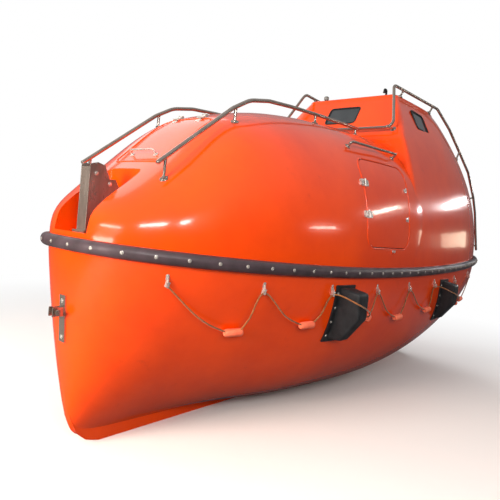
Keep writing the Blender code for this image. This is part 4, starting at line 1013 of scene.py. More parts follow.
def dress(node, material, bevel=0.0, sharp=35, segments=2):
    """Give a node of the frame its finish, with its facets joined and its edges eased."""
    item = frame["nodes"][node]
    for place in item.material_slots:
        place.material = material
    if not item.material_slots:
        item.data.materials.append(material)
    weld = item.modifiers.new("joined_facets", "WELD")
    weld.merge_threshold = 0.00005
    if bevel:
        ease(item, bevel, sharp, segments)
    return item


# Sizes and colours that a user would change

class LifeboatSizes(bpy.types.PropertyGroup):
    rope_diameter: bpy.props.FloatProperty(
        name="Rope diameter", description="Across the lifelines", default=0.012, unit="LENGTH")
    strand_pitch: bpy.props.FloatProperty(
        name="Strand pitch", description="Length in which a strand goes once round the rope", default=0.045,
        unit="LENGTH")
    float_diameter: bpy.props.FloatProperty(
        name="Float diameter", description="Across a float on the lifelines", default=0.058, unit="LENGTH")
    float_length: bpy.props.FloatProperty(
        name="Float length", description="Along a float on the lifelines", default=0.14, unit="LENGTH")
    rail_diameter: bpy.props.FloatProperty(
        name="Rail diameter", description="Across the tube of the long rails", default=0.032, unit="LENGTH")
    fender_reach: bpy.props.FloatProperty(
        name="Fender reach", description="How far the rub rail stands out", default=0.055, unit="LENGTH")
    fender_bolts: bpy.props.FloatProperty(
        name="Fender bolt spacing", description="Between the bolts of the rub rail", default=0.197,
        unit="LENGTH")
    seal_width: bpy.props.FloatProperty(
        name="Seal width", description="Across the rubber round a window", default=0.018, unit="LENGTH")


class LifeboatColours(bpy.types.PropertyGroup):
    gelcoat_light: bpy.props.FloatVectorProperty(
        name="Gelcoat", description="Main colour of hull and canopy", subtype="COLOR", size=3, min=0, max=1,
        default=colour("#FA4C00")[:3])
    gelcoat_dark: bpy.props.FloatVectorProperty(
        name="Gelcoat in its darker patches", description="Second colour of hull and canopy", subtype="COLOR",
        size=3, min=0, max=1, default=colour("#E84102")[:3])


# Operators

class BuildStage(bpy.types.Operator):
    """Camera, studio lights and floor"""
    bl_idname = "lifeboat.build_stage"
    bl_label = "Stage"

    def execute(self, context):
        scene = context.scene
        yaw, pitch, roll = (math.radians(a) for a in (CAMERA_YAW, CAMERA_PITCH, CAMERA_ROLL))
        ahead = Vector((-math.cos(yaw) * math.cos(pitch), -math.sin(yaw) * math.cos(pitch), math.sin(pitch)))
        level = Vector((-math.sin(yaw), math.cos(yaw), 0))
        above = level.cross(ahead)
        right = level * math.cos(roll) + above * math.sin(roll)
        up = above * math.cos(roll) - level * math.sin(roll)
        data = bpy.data.cameras.new("photo_camera")
        data.lens = CAMERA_LENS
        data.sensor_width = CAMERA_SENSOR
        camera = bpy.data.objects.new("photo_camera", data)
        camera.matrix_world = Matrix((right, up, -ahead)).transposed().to_4x4()
        camera.matrix_world.translation = CAMERA_AT
        scene.collection.objects.link(camera)
        scene.camera = camera
        scene.view_settings.view_transform = "Standard"

        world = bpy.data.worlds.new("studio")
        world.use_nodes = True
        tree = world.node_tree
        tree.nodes.clear()
        seen = add_node(tree, "ShaderNodeBackground", inputs={
            "Color": (1, 1, 1, 1), "Strength": 1.0}).outputs[0]
        way = add_node(tree, "ShaderNodeTexCoord").outputs["Generated"]
        height = add_node(tree, "ShaderNodeSeparateXYZ", inputs={0: way}).outputs["Z"]
        ceiling = add_node(tree, "ShaderNodeMapRange", {"clamp": True, "interpolation_type": "SMOOTHSTEP"}, {
            "Value": height, "From Min": -0.05, "From Max": 0.8, "To Min": 0.10, "To Max": 0.48}).outputs[0]
        soft = add_node(tree, "ShaderNodeBackground", inputs={
            "Color": (0.95, 0.97, 1, 1), "Strength": ceiling}).outputs[0]
        ray = add_node(tree, "ShaderNodeLightPath").outputs["Is Camera Ray"]
        mixed = add_node(tree, "ShaderNodeMixShader", inputs={0: ray, 1: soft, 2: seen}).outputs[0]
        add_node(tree, "ShaderNodeOutputWorld", inputs={"Surface": mixed})
        scene.world = world

        # name, place, point it faces, width, height, watts, colour, whether the gloss shows it
        lamps = (
            ("bow_softbox", (8.9, -0.4, 2.1), (2.0, 0, 0.3), 3.4, 2.2, 900, "#FFF0DE", False),
            ("port_softbox", (4.6, 7.2, 3.6), (1.0, 0, 0.5), 2.6, 2.6, 190, "#FFF2E6", False),
            ("aft_softbox", (-6.5, -3.5, 5.0), (0, 0, 1.0), 4.0, 3.0, 260, "#FFFFFF", False),
            ("skylight_fore", (7.8, 4.75, 3.5), (2.8, 0.6, 1.0), 2.9, 0.62, 150, "#FFFFFF", True),
            ("skylight_bow", (9.5, -0.3, 2.75), (3.0, 0.35, 1.0), 3.4, 0.30, 60, "#FFFFFF", True),
            ("doorway_bow", (9.6, -1.2, 0.55), (3.0, 0.35, 0.88), 3.8, 0.45, 75, "#FFFBF2", True),
            ("skylight_port", (5.4, 6.7, 3.5), (2.7, 0.7, 1.0), 0.8, 0.7, 48, "#FFFFFF", True),
            ("skylight_side", (-3.2, 6.0, 2.1), (1.6, 1.0, 1.1), 1.3, 0.14, 9, "#FFF6E8", True),
            ("skylight_door", (-5.45, 4.15, 2.82), (0.6, 1.0, 1.3), 1.0, 0.22, 12, "#FFF6E8", True),
            ("skylight_aft", (-8.0, 2.35, 2.75), (-1.2, 1.0, 1.5), 1.7, 0.22, 26, "#FFFFFF", True),
            ("window_aft", (-7.9, 2.7, 1.42), (-1.2, 1.0, 1.1), 1.3, 0.55, 6, "#FFE9CC", True),
            ("ceiling_starboard", (0.8, -5.8, 6.0), (1.5, 0, 1.5), 6.0, 4.2, 75, "#FFFFFF", True),
        )
        for name, place, target, width, height, watts, tint, shown in lamps:
            lamp = bpy.data.lights.new(name, "AREA")
            lamp.shape = "RECTANGLE"
            lamp.size, lamp.size_y, lamp.energy, lamp.color = width, height, watts, colour(tint)[:3]
            item = bpy.data.objects.new(name, lamp)
            item.location = place
            item.rotation_euler = (Vector(target) - Vector(place)).to_track_quat("-Z", "Y").to_euler()
            item.visible_glossy = shown
            scene.collection.objects.link(item)

        bm = bmesh.new()
        bm.faces.new([bm.verts.new((x * FLOOR_HALF, y * FLOOR_HALF, KEEL_Z))
                      for x, y in ((-1, -1), (1, -1), (1, 1), (-1, 1))])
        floor = object_from("floor", bm, floor_paint())
        return {"FINISHED"}


class BuildLifelines(bpy.types.Operator):
    """Laid ropes looped along both sides, with their floats"""
    bl_idname = "lifeboat.build_lifelines"
    bl_label = "Lifelines"

    def execute(self, context):
        sizes = context.scene.lifeboat_sizes
        r, half = sizes.float_diameter / 2, sizes.float_length / 2
        float_form = ((0.0065, -half + 0.004), (0.45 * r, -half), (0.72 * r, -half + 0.001),
                      (0.93 * r, -half + 0.010), (r, -half + 0.024), (r, 0.0), (r, half - 0.024),
                      (0.93 * r, half - 0.010), (0.72 * r, half - 0.001), (0.45 * r, half),
                      (0.0065, half - 0.004))
        for side, name in SIDES:
            path = smooth_route([Vector((x, side * y, z)) for row in LIFELINE for x, y, z in row], ROPE_STEP)
            bm = bmesh.new()
            self.strands(bm, path, sizes.rope_diameter / 2, sizes.strand_pitch)
            rope = piece("rope_" + name, bm, rope_fibre(), "boat", ("lifeline_" + name,))
            for number, row in enumerate(LIFELINE[:-1], 1):
                x, y, z = row[-2]
                place = Vector((x, side * y, z))
                near = min(range(1, len(path) - 1), key=lambda i: (path[i] - place).length)
                along = (path[near + 2] - path[near - 2]).normalized()
                bm = bmesh.new()
                lathe(bm, axis_place(place, along), float_form, 32)
                piece(f"float_{name}_{number}", bm, float_foam(), "boat")
        return {"FINISHED"}

    def strands(self, bm, path, radius, pitch):
        """Three laid strands, as lobes that go once round the rope in a pitch."""
        rings, out, gone = [], Vector((0, 0, 1)), 0.0
        for k, point in enumerate(path):
            along = (path[min(k + 1, len(path) - 1)] - path[max(k - 1, 0)]).normalized()
            out = (out - along * out.dot(along)).normalized()
            across = along.cross(out)
            gone += (point - path[k - 1]).length if k else 0.0
            twist = 2 * math.pi * gone / pitch
            row = []
            for corner in range(12):
                turn = 2 * math.pi * corner / 12
                lobed = radius * (1 - ROPE_LOBE + ROPE_LOBE * abs(math.cos(1.5 * (turn - twist))))
                row.append(point + out * lobed * math.cos(turn) + across * lobed * math.sin(turn))
            rings.append(row)
        rings_to_faces(bm, rings)


class BuildRopeEyes(bpy.types.Operator):
    """Eye plates on the hull, each with its bolt and a shackle round the rope"""
    bl_idname = "lifeboat.build_rope_eyes"
    bl_label = "Rope eyes"

    def execute(self, context):
        _, outer, _ = hull_skins()
        bm = bmesh.new()
        for side in (1, -1):
            for row in LIFELINE:
                x, reach, z = row[0]
                y = side * reach + side * 0.002
                top, normal = side_hit(outer, side, x, z + 0.055)
                foot, _ = side_hit(outer, side, x, z - 0.004)
                outline = [(side * foot.y - 0.012, z - 0.004), (reach + 0.006, z - 0.012), (reach + 0.012, z),
                           (reach + 0.008, z + 0.014), (side * top.y + 0.012, z + 0.055),
                           (side * top.y - 0.010, z + 0.068)]
                slab(bm, across_boat(side, x), outline, -0.003, 0.003)
                slab(bm, axis_place(top, normal), rounded_outline(0.022, 0.044, 0.009, 4), -0.004, 0.004)
                bolt(bm, top + normal * 0.004 + Vector((0, 0, 0.012)), normal, 0.0075)
                bow = [Vector((x + 0.012 * math.cos(t), y, z + 0.010 - 0.020 * math.sin(t)))
                       for t in (math.pi * k / 12 for k in range(13))]
                rise = Vector((0, 0, 0.014))
                sweep(bm, [bow[0] + rise] + bow + [bow[-1] + rise], ring(0.0032, 10))
                lathe(bm, axis_place((x - 0.017, y, z + 0.020), (1, 0, 0)),
                      ((0.0055, 0.0), (0.0055, 0.004), (0.003, 0.0045), (0.003, 0.030), (0.005, 0.0305),
                       (0.005, 0.034)), 10)
        piece("rope_eyes", bm, bright_steel(), "boat", bevel=0.0006)
        return {"FINISHED"}


class BuildHull(bpy.types.Operator):
    """The moulded hull with its keel, skeg, stern tube and stock trunk"""
    bl_idname = "lifeboat.build_hull"
    bl_label = "Hull"

    def execute(self, context):
        body, _, _ = hull_skins()
        settle(body, "boat", ("hull_shell",), sharp=32)
        bm = bmesh.new()
        lathe(bm, axis_place((TUBE_X, 0, SHAFT.z), (-1, 0, 0)),
              ((0.040, 0.0), (0.037, 0.05), (0.034, 0.10), (0.034, 0.222), (0.031, 0.230)), 32)
        lathe(bm, axis_place((SHAFT.x, 0, 0.0), (0, 0, 1)), ((0.050, 0.0), (0.055, 0.004), (0.055, 0.14)), 32)
        piece("stern_tube_and_trunk", bm, gelcoat(), "boat")
        return {"FINISHED"}


class BuildCanopy(bpy.types.Operator):
    """The crowned canopy and its tower, with the raised lips round the openings"""
    bl_idname = "lifeboat.build_canopy"
    bl_label = "Canopy"

    def execute(self, context):
        body, _, outer = canopy_skins()
        settle(body, "boat", ("canopy_shell",), sharp=32)
        lips, stops = bmesh.new(), bmesh.new()
        turns = [math.pi * k / 8 for k in range(9)]
        section = [(LIP_HEIGHT * math.sin(t), LIP_HALF * math.cos(t)) for t in turns]
        section += [(-0.004, -LIP_HALF), (-0.004, LIP_HALF)]
        margin = 2 * SWING_GAP + 2 * LIP_HALF
        for x, y, z, facing, width, height, radius, _, _ in OPENINGS.values():
            path, outs = on_skin(outer, facing, (x, y, z), width + margin, height + margin,
                                 radius + margin / 2)
            sweep(lips, path, section, closed=True, outs=outs)
        for side in (1, -1):
            place = axis_place(*side_hit(outer, side, *DOOR_STOP))
            slab(lips, place, rounded_outline(0.036, 0.056, 0.008, 4), -0.006, 0.004)
            lathe(stops, place, ((0.012, 0.002), (0.012, 0.010), (0.009, 0.012), (0.009, 0.020),
                                 (0.013, 0.021), (0.013, 0.026), (0.010, 0.028)), 20)
        piece("moulded_lips", lips, gelcoat(), "boat")
        piece("door_stops", stops, bright_steel(), "boat", bevel=0.0006)
        return {"FINISHED"}


def even_outline(width, height, radius):
    """A rounded outline at even steps."""
    outline = rounded_outline(width, height, radius, 10)
    return resample(outline + outline[:1], 96)[:-1]


def on_skin(tree, facing, centre, width, height, radius, offset=0.0):
    """A rounded outline laid on a skin, as evenly spaced points with the way out at each."""
    place = facing_frame(facing, centre)
    out = place.to_3x3() @ Vector((0, 0, 1))
    path, outs = [], []
    for u, v in even_outline(width, height, radius):
        point, normal = hit(tree, place @ Vector((u, v, ABOVE)), -out)
        path.append(point + normal * offset)
        outs.append(normal)
    return path, outs


class BuildPanels(bpy.types.Operator):
    """Side doors and hatches with their seals, hinges, handles and latches"""
    bl_idname = "lifeboat.build_panels"
    bl_label = "Doors and hatches"

    def execute(self, context):
        _, panels, outer = canopy_skins()
        fixed = bmesh.new()
        for name, (body, joint, offsets) in PANELS.items():
            settle(panels[name], body, (name,), sharp=32)
            x, y, z, facing, width, height, radius, _, _ = OPENINGS[name]
            fittings = bmesh.new()
            self.hinges(fittings, fixed, name, JOINTS[joint], offsets)
            if name in HANDLES:
                self.handle(fittings, outer, facing_frame(facing, (x, y, z)), *HANDLES[name])
            else:
                for at_x, at_z in DOOR_LATCHES:
                    self.latch(fittings, *side_hit(outer, 1 if facing == "port" else -1, at_x, at_z))
            piece(name + "_fittings", fittings, bright_steel(), body, bevel=0.0008)
            seal = bmesh.new()
            path, outs = on_skin(outer, facing, (x, y, z), width + SWING_GAP * 0.6, height + SWING_GAP * 0.6,
                                 radius + SWING_GAP * 0.3, -SEAL_DEPTH)
            sweep(seal, path, ring(0.0032, 8), closed=True, outs=outs)
            piece(name + "_seal", seal, gasket(), body)
        piece("fixed_hinge_leaves", fixed, bright_steel(), "boat", bevel=0.0008)
        return {"FINISHED"}

    def handle(self, bm, tree, place, up, span):
        """A bail handle on two flanges."""
        out = place.to_3x3() @ Vector((0, 0, 1))
        feet = [hit(tree, place @ Vector((u, up, ABOVE)), -out) for u in (-span / 2, span / 2)]
        path = [feet[0][0], feet[0][0] + out * HANDLE_RISE, feet[1][0] + out * HANDLE_RISE, feet[1][0]]
        sweep(bm, bent(path, 0.024), ring(0.007, 16))
        for foot, normal in feet:
            foot_flange(bm, foot, normal, 0.020)

    def hinges(self, moving, fixed, name, joint, offsets):
        """Strap leaf and middle knuckle on the panel, short leaf and outer knuckles on the canopy."""
        axis = Vector(joint["axis"]).normalized()
        if name.startswith("side_door"):
            inward = Vector((-1, 0, 0))
        else:
            inward = Vector(OPENINGS[name][:3]) - Vector(joint["pos_m"])
        inward = (inward - axis * inward.dot(axis)).normalized()
        out = axis.cross(inward)
        for offset in offsets:
            place = Matrix((inward, axis, out)).transposed().to_4x4()
            place.translation = Vector(joint["pos_m"]) + axis * offset
            lie = place @ SIDE_VIEW
            for bm, way, low, high in ((moving, 1, -0.0150, 0.0150), (fixed, -1, 0.0154, 0.0330),
                                       (fixed, -1, -0.0330, -0.0154)):
                leaf = 0.072 if way > 0 else 0.052
                middle = (low + high) / 2
                outline = [(way * 0.004, low), (way * leaf * 0.8, low * 0.95), (way * leaf, middle - 0.004),
                           (way * leaf, middle + 0.004), (way * leaf * 0.8, high * 0.95), (way * 0.004, high)]
                slab(bm, place, outline, -0.024, -0.0125)
                rise = [(0.0, -0.013), (way * 0.010, -0.013), (way * 0.0085, 0.0), (way * 0.004, 0.004)]
                slab(bm, lie, rise, low, high)
                length = high - low
                lathe(bm, lie @ Matrix.Translation((0, 0, low)),
                      ((0.0078, 0.0), (0.0090, 0.0008), (0.0090, length - 0.0008), (0.0078, length)), 20)
            for bm, way in ((moving, 1), (fixed, -1)):
                plate = place @ Matrix.Translation((way * 0.042, 0, 0))
                slab(bm, plate, rounded_outline(0.050, 0.056, 0.010, 5), -0.024, -0.004)
                for up in (-0.014, 0.014):
                    bolt(bm, plate @ Vector((way * 0.006, up, -0.004)), out, 0.0062)
            for end in (-1, 1):
                cap = lie @ Matrix.Translation((0, 0, end * 0.0330))
                cap = cap if end > 0 else cap @ Matrix.Rotation(math.pi, 4, "X")
                lathe(fixed, cap, ((0.0060, -0.002), (0.0060, 0.001), (0.0045, 0.0030), (0.0010, 0.0036)), 16)

    def latch(self, bm, foot, normal):
        """A dog handle on a round base, turned upright."""
        lathe(bm, axis_place(foot, normal),
              ((0.021, -0.003), (0.021, 0.003), (0.019, 0.005), (0.012, 0.006), (0.010, 0.012),
               (0.010, 0.019), (0.006, 0.021)), 28)
        up = Vector((0, 0, 1))
        up = (up - normal * up.dot(normal)).normalized()
        # the way a bar runs, its reach back and ahead, its height at the ends and in the middle, its radius
        bars = ((up, 0.024, 0.024, 0.0155, 0.0165, 0.0052),
                (up.cross(normal), 0.028, 0.010, 0.0145, 0.0150, 0.0048))
        for way, back, ahead, end, middle, radius in bars:
            lifted = foot + normal * end
            sweep(bm, [lifted - way * back, foot + normal * middle, lifted + way * ahead], ring(radius, 12))


class BuildWindows(bpy.types.Operator):
    """Tinted panes with their rubber seals"""
    bl_idname = "lifeboat.build_windows"
    bl_label = "Windows"

    def execute(self, context):
        half = context.scene.lifeboat_sizes.seal_width / 2
        section = [(0.0, -half), (0.003, -half + 0.001), (0.005, -half * 0.4), (0.0035, 0.0),
                   (0.005, half * 0.4), (0.003, half - 0.001), (0.0, half), (-0.008, half), (-0.008, -half)]
        for name, (x, y, z, facing, width, height, radius) in WINDOWS.items():
            pane = dress(name, pane_glass(), 0.0015)
            place = facing_frame(facing, (x, y, z))
            out = place.to_3x3() @ Vector((0, 0, 1))
            depth = max((v.co - Vector((x, y, z))).dot(out) for v in pane.data.vertices) + PANE_SEAL_LIFT
            path = [place @ Vector((u, v, depth)) for u, v in even_outline(width, height, radius)]
            bm = bmesh.new()
            sweep(bm, path, section, closed=True, outs=[out] * len(path))
            piece(name + "_seal", bm, gasket(), "boat")
        return {"FINISHED"}


class BuildRubRail(bpy.types.Operator):
    """The rubber fender round the joint, with its bolts"""
    bl_idname = "lifeboat.build_rub_rail"
    bl_label = "Rub rail"

    def execute(self, context):
        sizes = context.scene.lifeboat_sizes
        reach = sizes.fender_reach
        # share of the reach, height from the joint
        half = ((0.01, -0.0450), (0.30, -0.0450), (0.46, -0.0435), (0.60, -0.0405), (0.73, -0.0355),
                (0.84, -0.0290), (0.92, -0.0215), (0.97, -0.0135), (0.995, -0.0055), (1.0, 0.0))
        outline = [(share * reach, up) for share, up in half]
        outline += [(share * reach, -up) for share, up in reversed(half[:-1])]
        # a point well inside the rim, which tells the way out
        middle = Vector((WIDEST_X - 0.5, 0, 0))
        bolts = bmesh.new()
        for side, name in SIDES:
            rim = [Vector((x, side * y, sheer(x))) for x, y in plan_outline(0.0, FENDER_STEPS)]
            outs = [Vector((1, 0, 0))]
            for before, point, after in zip(rim, rim[1:], rim[2:]):
                along = (after - before).normalized()
                out = (Vector((along.y, -along.x, 0)) * side).normalized()
                outs.append(out if out.dot(point - middle) > 0 else -out)
            outs.append(Vector((-1, 0, 0)))
            bm = bmesh.new()
            rings = []
            for point, out in zip(rim, outs):
                row = [point + out * a + Vector((0, 0, 1)) * b for a, b in outline]
                for corner in row:
                    corner.y = side * max(side * corner.y, FENDER_SPLIT)
                rings.append(row)
            rings_to_faces(bm, rings)
            piece("fender_" + name, bm, rail_rubber(), "boat", ("rub_rail_" + name,), sharp=40)
            gone, due = 0.0, FENDER_FIRST_BOLT
            for a, b, out in zip(rim, rim[1:], outs[1:]):
                step = (b - a).length
                while gone + step >= due:
                    at = a.lerp(b, (due - gone) / step)
                    bolt(bolts, at + out * (reach * 0.995), out, 0.008)
                    due += sizes.fender_bolts
                gone += step
        piece("fender_bolts", bolts, bright_steel(), "boat")
        return {"FINISHED"}


class BuildRails(bpy.types.Operator):
    """Stainless grab rails over the canopy, above the doors and round the tower"""
    bl_idname = "lifeboat.build_rails"
    bl_label = "Rails"

    def execute(self, context):
        _, _, outer = canopy_skins()
        radius = context.scene.lifeboat_sizes.rail_diameter / 2
        for side, name in SIDES:
            bm = bmesh.new()
            path = bent([(x, side * LONG_RAIL_Y, z) for x, z in LONG_RAIL], LONG_RAIL_BEND)
            self.tube(bm, path, radius)
            for x in LONG_RAIL_POSTS:
                z = float(np.interp(-x, [-p.x for p in path], [p.z for p in path]))
                self.post(bm, outer, (x, side * LONG_RAIL_Y, z), (0, 0, -1), radius * POST_SHARE)
            piece(f"long_rail_{name}_tube", bm, stainless(), "boat", ("long_rail_" + name,))

            bm = bmesh.new()
            feet = [side_hit(outer, side, x, z) for x, z in DOOR_RAIL]
            heads = [place + normal * DOOR_RAIL_RISE for place, normal in feet]
            path = bent([feet[0][0], *heads, feet[1][0]], DOOR_RAIL_BEND)
            self.tube(bm, path, DOOR_RAIL_RADIUS)
            for place, normal in feet:
                foot_flange(bm, place, normal, 0.026)
            piece(f"door_rail_{name}_tube", bm, stainless(), "boat", ("door_rail_" + name,))

        bm = bmesh.new()
        path = list(TOWER_RAIL) + [(x, -y, z) for x, y, z in reversed(TOWER_RAIL)]
        self.tube(bm, bent(path, TOWER_RAIL_BEND), radius)
        for side in (1, -1):
            for x, y, z, (ahead, out, up) in TOWER_RAIL_POSTS:
                self.post(bm, outer, (x, side * y, z), (ahead, side * out, up), radius * POST_SHARE)
        piece("tower_rail_tube", bm, stainless(), "boat", ("tower_rail",))
        return {"FINISHED"}

    def tube(self, bm, path, radius):
        """A bar with rounded ends."""
        sweep(bm, path, ring(radius, 24))
        for end, inner in ((path[0], path[1]), (path[-1], path[-2])):
            lathe(bm, axis_place(end, (end - inner).normalized()),
                  ((radius, -0.001), (radius * 0.96, 0.004), (radius * 0.8, 0.008), (radius * 0.4, 0.0105),
                   (radius * 0.05, 0.011)), 24)

    def post(self, bm, tree, top, toward, radius):
        """A stanchion from the tube to the skin, with a weld bead at its head and a flange at its foot."""
        place, normal = hit(tree, top, toward)
        way = (place - Vector(top)).normalized()
        sweep(bm, [Vector(top), place], ring(radius, 20))
        lathe(bm, axis_place(Vector(top) + way * radius * 1.2, way),
              ((radius * 1.02, -0.002), (radius * 1.2, 0.002), (radius * 1.15, 0.006),
               (radius * 1.01, 0.009)), 20)
        foot_flange(bm, place, normal)


def pad_taper(z):
    """How far the forward edge of a skate is drawn in at a height."""
    return PAD_TAPER * (PAD_HIGH - z) / (PAD_HIGH - PAD_LOW)


class BuildPads(bpy.types.Operator):
    """Moulded rubber skates with their flange bolts"""
    bl_idname = "lifeboat.build_pads"
    bl_label = "Skates"

    def execute(self, context):
        bolts = bmesh.new()
        _, outer, seat = hull_skins()
        for end, x in PADS.items():
            for side, name in SIDES:
                self.body(f"skate_{name}_{end}", f"pad_{name}_{end}", x, side, seat)
                self.flange(f"skate_flange_{name}_{end}", x, side, outer)
                for z in PAD_BOLTS:
                    for edge in (-PAD_FLANGE + PAD_BOLT_INSET, PAD_FLANGE - PAD_BOLT_INSET - pad_taper(z)):
                        place, normal = side_hit(outer, side, x + edge, z)
                        bolt(bolts, place + normal * PAD_THICK, normal, 0.0075)
        piece("skate_bolts", bolts, bright_steel(), "boat")
        bpy.data.objects.remove(seat, do_unlink=True)
        return {"FINISHED"}

    def body(self, name, node, x, side, seat):
        """The skate's wedge, drawn in to its foot, with rounded edges, cut to the hull."""
        bm = bmesh.new()
        slab(bm, across_boat(side), PAD_WEDGE, x - PAD_HALF, x + PAD_HALF)
        for corner in bm.verts:
            if corner.co.x > x:
                corner.co.x -= pad_taper(corner.co.z)
        bmesh.ops.recalc_face_normals(bm, faces=bm.faces)
        bmesh.ops.bevel(bm, geom=bm.edges[:], offset=PAD_ROUND, segments=5, profile=0.5, affect="EDGES")
        item = object_from(name, bm)
        combine(item, seat, "DIFFERENCE", keep=True)
        item.data.materials.clear()
        item.data.materials.append(pad_rubber())
        settle(item, "boat", (node,), sharp=50)

    def flange(self, name, x, side, outer):
        """The skate's flange, laid on the hull's skin."""
        bm = bmesh.new()
        rings = []
        for level in range(PAD_ROWS + 1):
            z = PAD_LOW + (PAD_HIGH - PAD_LOW) * level / PAD_ROWS
            aft = x - PAD_FLANGE
            length = 2 * PAD_FLANGE - pad_taper(z)
            skin = [side_hit(outer, side, aft + length * k / 8, z) for k in range(9)]
            rings.append([place + normal * PAD_THICK for place, normal in skin]
                         + [place - normal * 0.0005 for place, normal in reversed(skin)])
        rings_to_faces(bm, rings)
        piece(name, bm, pad_rubber(), "boat", bevel=0.004, sharp=40, segments=3)


class BuildReleaseGear(bpy.types.Operator):
    """Hook frames and hooks in their wells, and the painter's bracket and pin on the stem"""
    bl_idname = "lifeboat.build_release_gear"
    bl_label = "Release gear"

    def execute(self, context):
        for node in ("bow_hook_frame", "stern_hook_frame"):
            dress(node, hook_steel(), 0.002)
        for node in ("bow_hook", "stern_hook"):
            dress(node, hook_steel(), 0.004, 30, 3)
        bracket = surface_of(dress("painter_bracket", stainless(), 0.0015))
        bm = bmesh.new()
        for z in BRACKET_BOLTS:
            bolt(bm, *hit(bracket, (NOSE_X + 0.3, 0, z), (-1, 0, 0)), 0.010)
        for node, way in (("bow_hook_frame", 1), ("stern_hook_frame", -1)):
            low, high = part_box(node)
            foot = high.x if way > 0 else low.x
            for inside, up in FRAME_BOLTS:
                for side in (1, -1):
                    bolt(bm, Vector((foot - way * inside, side * 0.055, low.z + up)), (0, side, 0), 0.010)
            for inside in FOOT_BOLTS:
                for side in (1, -1):
                    bolt(bm, Vector((foot - way * inside, side * 0.0655, low.z + 0.012)), (0, 0, 1), 0.0062)
        piece("release_gear_bolts", bm, bright_steel(), "boat")

        low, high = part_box("painter_pin")
        bm = bmesh.new()
        lathe(bm, axis_place((low + high) / 2 + Vector((0, -0.045, 0)), (0, 1, 0)),
              ((0.0085, 0.0), (0.010, 0.0015), (0.010, 0.084), (0.014, 0.085), (0.022, 0.087), (0.022, 0.093),
               (0.013, 0.095), (0.013, 0.098), (0.021, 0.0995), (0.021, 0.102), (0.017, 0.103)), 28)
        piece("painter_pin_turned", bm, stainless(), "pin_painter", ("painter_pin",))
        return {"FINISHED"}


class BuildPropulsion(bpy.types.Operator):
    """The propeller and its steering nozzle"""
    bl_idname = "lifeboat.build_propulsion"
    bl_label = "Propulsion"

    def execute(self, context):
        bm = bmesh.new()
        lathe(bm, axis_place((HUB_X, 0, SHAFT.z), (-1, 0, 0)),
              ((0.028, 0.0), (0.030, 0.004), (0.030, 0.13), (0.029, 0.20), (0.026, 0.235), (0.024, 0.2546),
               (0.018, 0.256), (0.018, 0.278), (0.013, 0.290), (0.004, 0.2945)), 32)
        piece("propeller_hub", bm, bronze(), "screw", ("propeller",), bevel=0.0006)
        bm = bmesh.new()
        for blade in range(3):
            turn = Matrix.Translation(SHAFT) @ Matrix.Rotation(2 * math.pi * blade / 3, 4, "X")
            rings = []
            for step in range(15):
                radius = BLADE[0][0] + (BLADE[-1][0] - BLADE[0][0]) * step / 14
                chord = smooth(BLADE, 1, radius) * BLADE_TIP.get(step, 1.0)
                lean = Matrix.Rotation(math.radians(smooth(BLADE, 2, radius)), 4, "Z")
                thick = BLADE_THICK * (1 - 0.5 * step / 14)
                rings.append([turn @ (lean @ Vector((0.5 * chord * c, thick * s * (1 - 0.35 * c), 0))
                                      + Vector((0, 0, radius))) for c, s in ring(1.0, 24)])
            rings_to_faces(bm, rings)
        piece("propeller_blades", bm, bronze(), "screw")

        bm = bmesh.new()
        place = Matrix.Translation(SHAFT) @ Matrix.Rotation(math.pi / 2, 4, "Y")
        corners = [Vector((r, 0, h)) for r, h in NOZZLE_SECTION]
        middle = corners[-1].lerp(corners[0], 0.5)
        section = [(p.x, p.z) for p in bent([middle] + corners + [middle], 0.006, 4)[:-1]]
        rings = [[place @ Vector((r * c, r * s, h)) for r, h in section] for c, s in ring(1.0, 72)]
        rings_to_faces(bm, rings, closed=True)
        outer = max(r for r, _ in NOZZLE_SECTION) - 0.012
        lathe(bm, axis_place(SHAFT + Vector((0, 0, outer)), (0, 0, 1)),
              ((0.046, -0.004), (0.044, 0.008), (0.034, 0.016), (0.032, 0.0315)), 28)
        lathe(bm, axis_place(SHAFT - Vector((0, 0, outer)), (0, 0, -1)),
              ((0.040, -0.004), (0.036, 0.006), (0.026, 0.014), (0.025, 0.0415)), 28)
        piece("nozzle_ring", bm, black_paint(), "nozzle", ("steering_nozzle",))
        return {"FINISHED"}


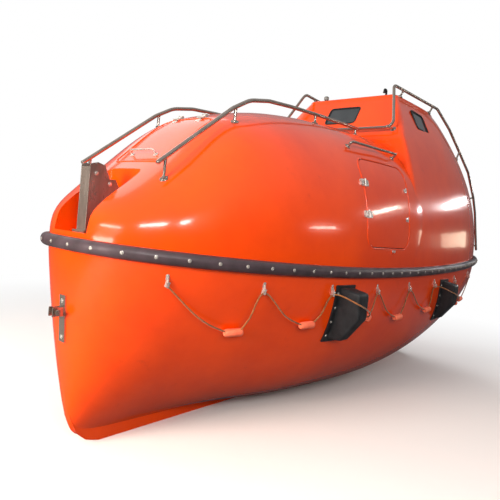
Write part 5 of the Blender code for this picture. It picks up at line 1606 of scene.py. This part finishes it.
class BuildRoofFittings(bpy.types.Operator):
    """Lamp and vent on the roof, and the engine below"""
    bl_idname = "lifeboat.build_roof_fittings"
    bl_label = "Roof fittings and engine"

    def execute(self, context):
        up = Vector((0, 0, 1))
        x, y = LIGHT
        place = axis_place((x, y, ROOF_Z), up)
        bm = bmesh.new()
        lathe(bm, place, ((0.026, 0.0005), (0.026, 0.006), (0.021, 0.008), (0.021, 0.024), (0.024, 0.026),
                          (0.024, 0.030)), 28)
        for c, s in ring(0.0225, 3):
            bolt(bm, Vector((x + c, y + s, ROOF_Z + 0.006)), up, 0.0022)
        piece("lamp_base", bm, black_paint(), "boat")
        ribs = [(0.022, 0.028), (0.028, 0.031)]
        for k in range(6):
            ribs += [(0.0285, 0.033 + 0.005 * k), (0.0298, 0.0345 + 0.005 * k), (0.0285, 0.036 + 0.005 * k)]
        ribs += [(0.026, 0.066), (0.021, 0.071), (0.014, 0.075), (0.006, 0.077), (0.001, 0.0775)]
        bm = bmesh.new()
        lathe(bm, place, ribs, 36)
        piece("lamp_lens_ribbed", bm, lamp_lens(), "boat", ("roof_light",))

        x, y = VENT
        mouth = x + 0.05
        path = [(x, y, ROOF_Z + 0.001), (x, y, ROOF_Z + 0.075), (mouth, y, ROOF_Z + 0.075),
                (mouth, y, ROOF_Z + 0.035)]
        bm = bmesh.new()
        sweep(bm, bent(path, 0.024, 12), ring(0.012, 24))
        foot_flange(bm, Vector((x, y, ROOF_Z + 0.0005)), up, 0.024)
        lathe(bm, axis_place((mouth, y, ROOF_Z + 0.046), (0, 0, -1)),
              ((0.0125, 0.0), (0.0150, 0.002), (0.0155, 0.012), (0.0145, 0.014), (0.0100, 0.013)), 24)
        piece("vent_gooseneck", bm, black_paint(), "boat", ("vent_pipe",))
        dress("engine", engine_paint(), 0.015, 30, 3)
        return {"FINISHED"}


class LifeboatPanel(bpy.types.Panel):
    """Lists the lifeboat's groups of pieces"""
    bl_idname = "VIEW3D_PT_lifeboat"
    bl_label = "Lifeboat"
    bl_space_type = "VIEW_3D"
    bl_region_type = "UI"
    bl_category = "Lifeboat"

    def draw(self, context):
        for group in (context.scene.lifeboat_sizes, context.scene.lifeboat_colours):
            for key in group.__annotations__:
                self.layout.prop(group, key)
        for operator in OPERATORS:
            self.layout.operator(operator.bl_idname)


OPERATORS = (BuildStage, BuildLifelines, BuildRopeEyes, BuildHull, BuildCanopy, BuildPanels, BuildWindows,
             BuildRubRail, BuildRails, BuildPads, BuildReleaseGear, BuildPropulsion, BuildRoofFittings)
CLASSES = (LifeboatSizes, LifeboatColours, *OPERATORS, LifeboatPanel)


def register():
    for item in CLASSES:
        bpy.utils.register_class(item)
    bpy.types.Scene.lifeboat_sizes = bpy.props.PointerProperty(type=LifeboatSizes)
    bpy.types.Scene.lifeboat_colours = bpy.props.PointerProperty(type=LifeboatColours)


def unregister():
    del bpy.types.Scene.lifeboat_colours
    del bpy.types.Scene.lifeboat_sizes
    for item in reversed(CLASSES):
        bpy.utils.unregister_class(item)


def main():
    register()
    for operator in OPERATORS:
        group, call = operator.bl_idname.split(".")
        getattr(getattr(bpy.ops, group), call)()


if __name__ == "__main__":
    main()
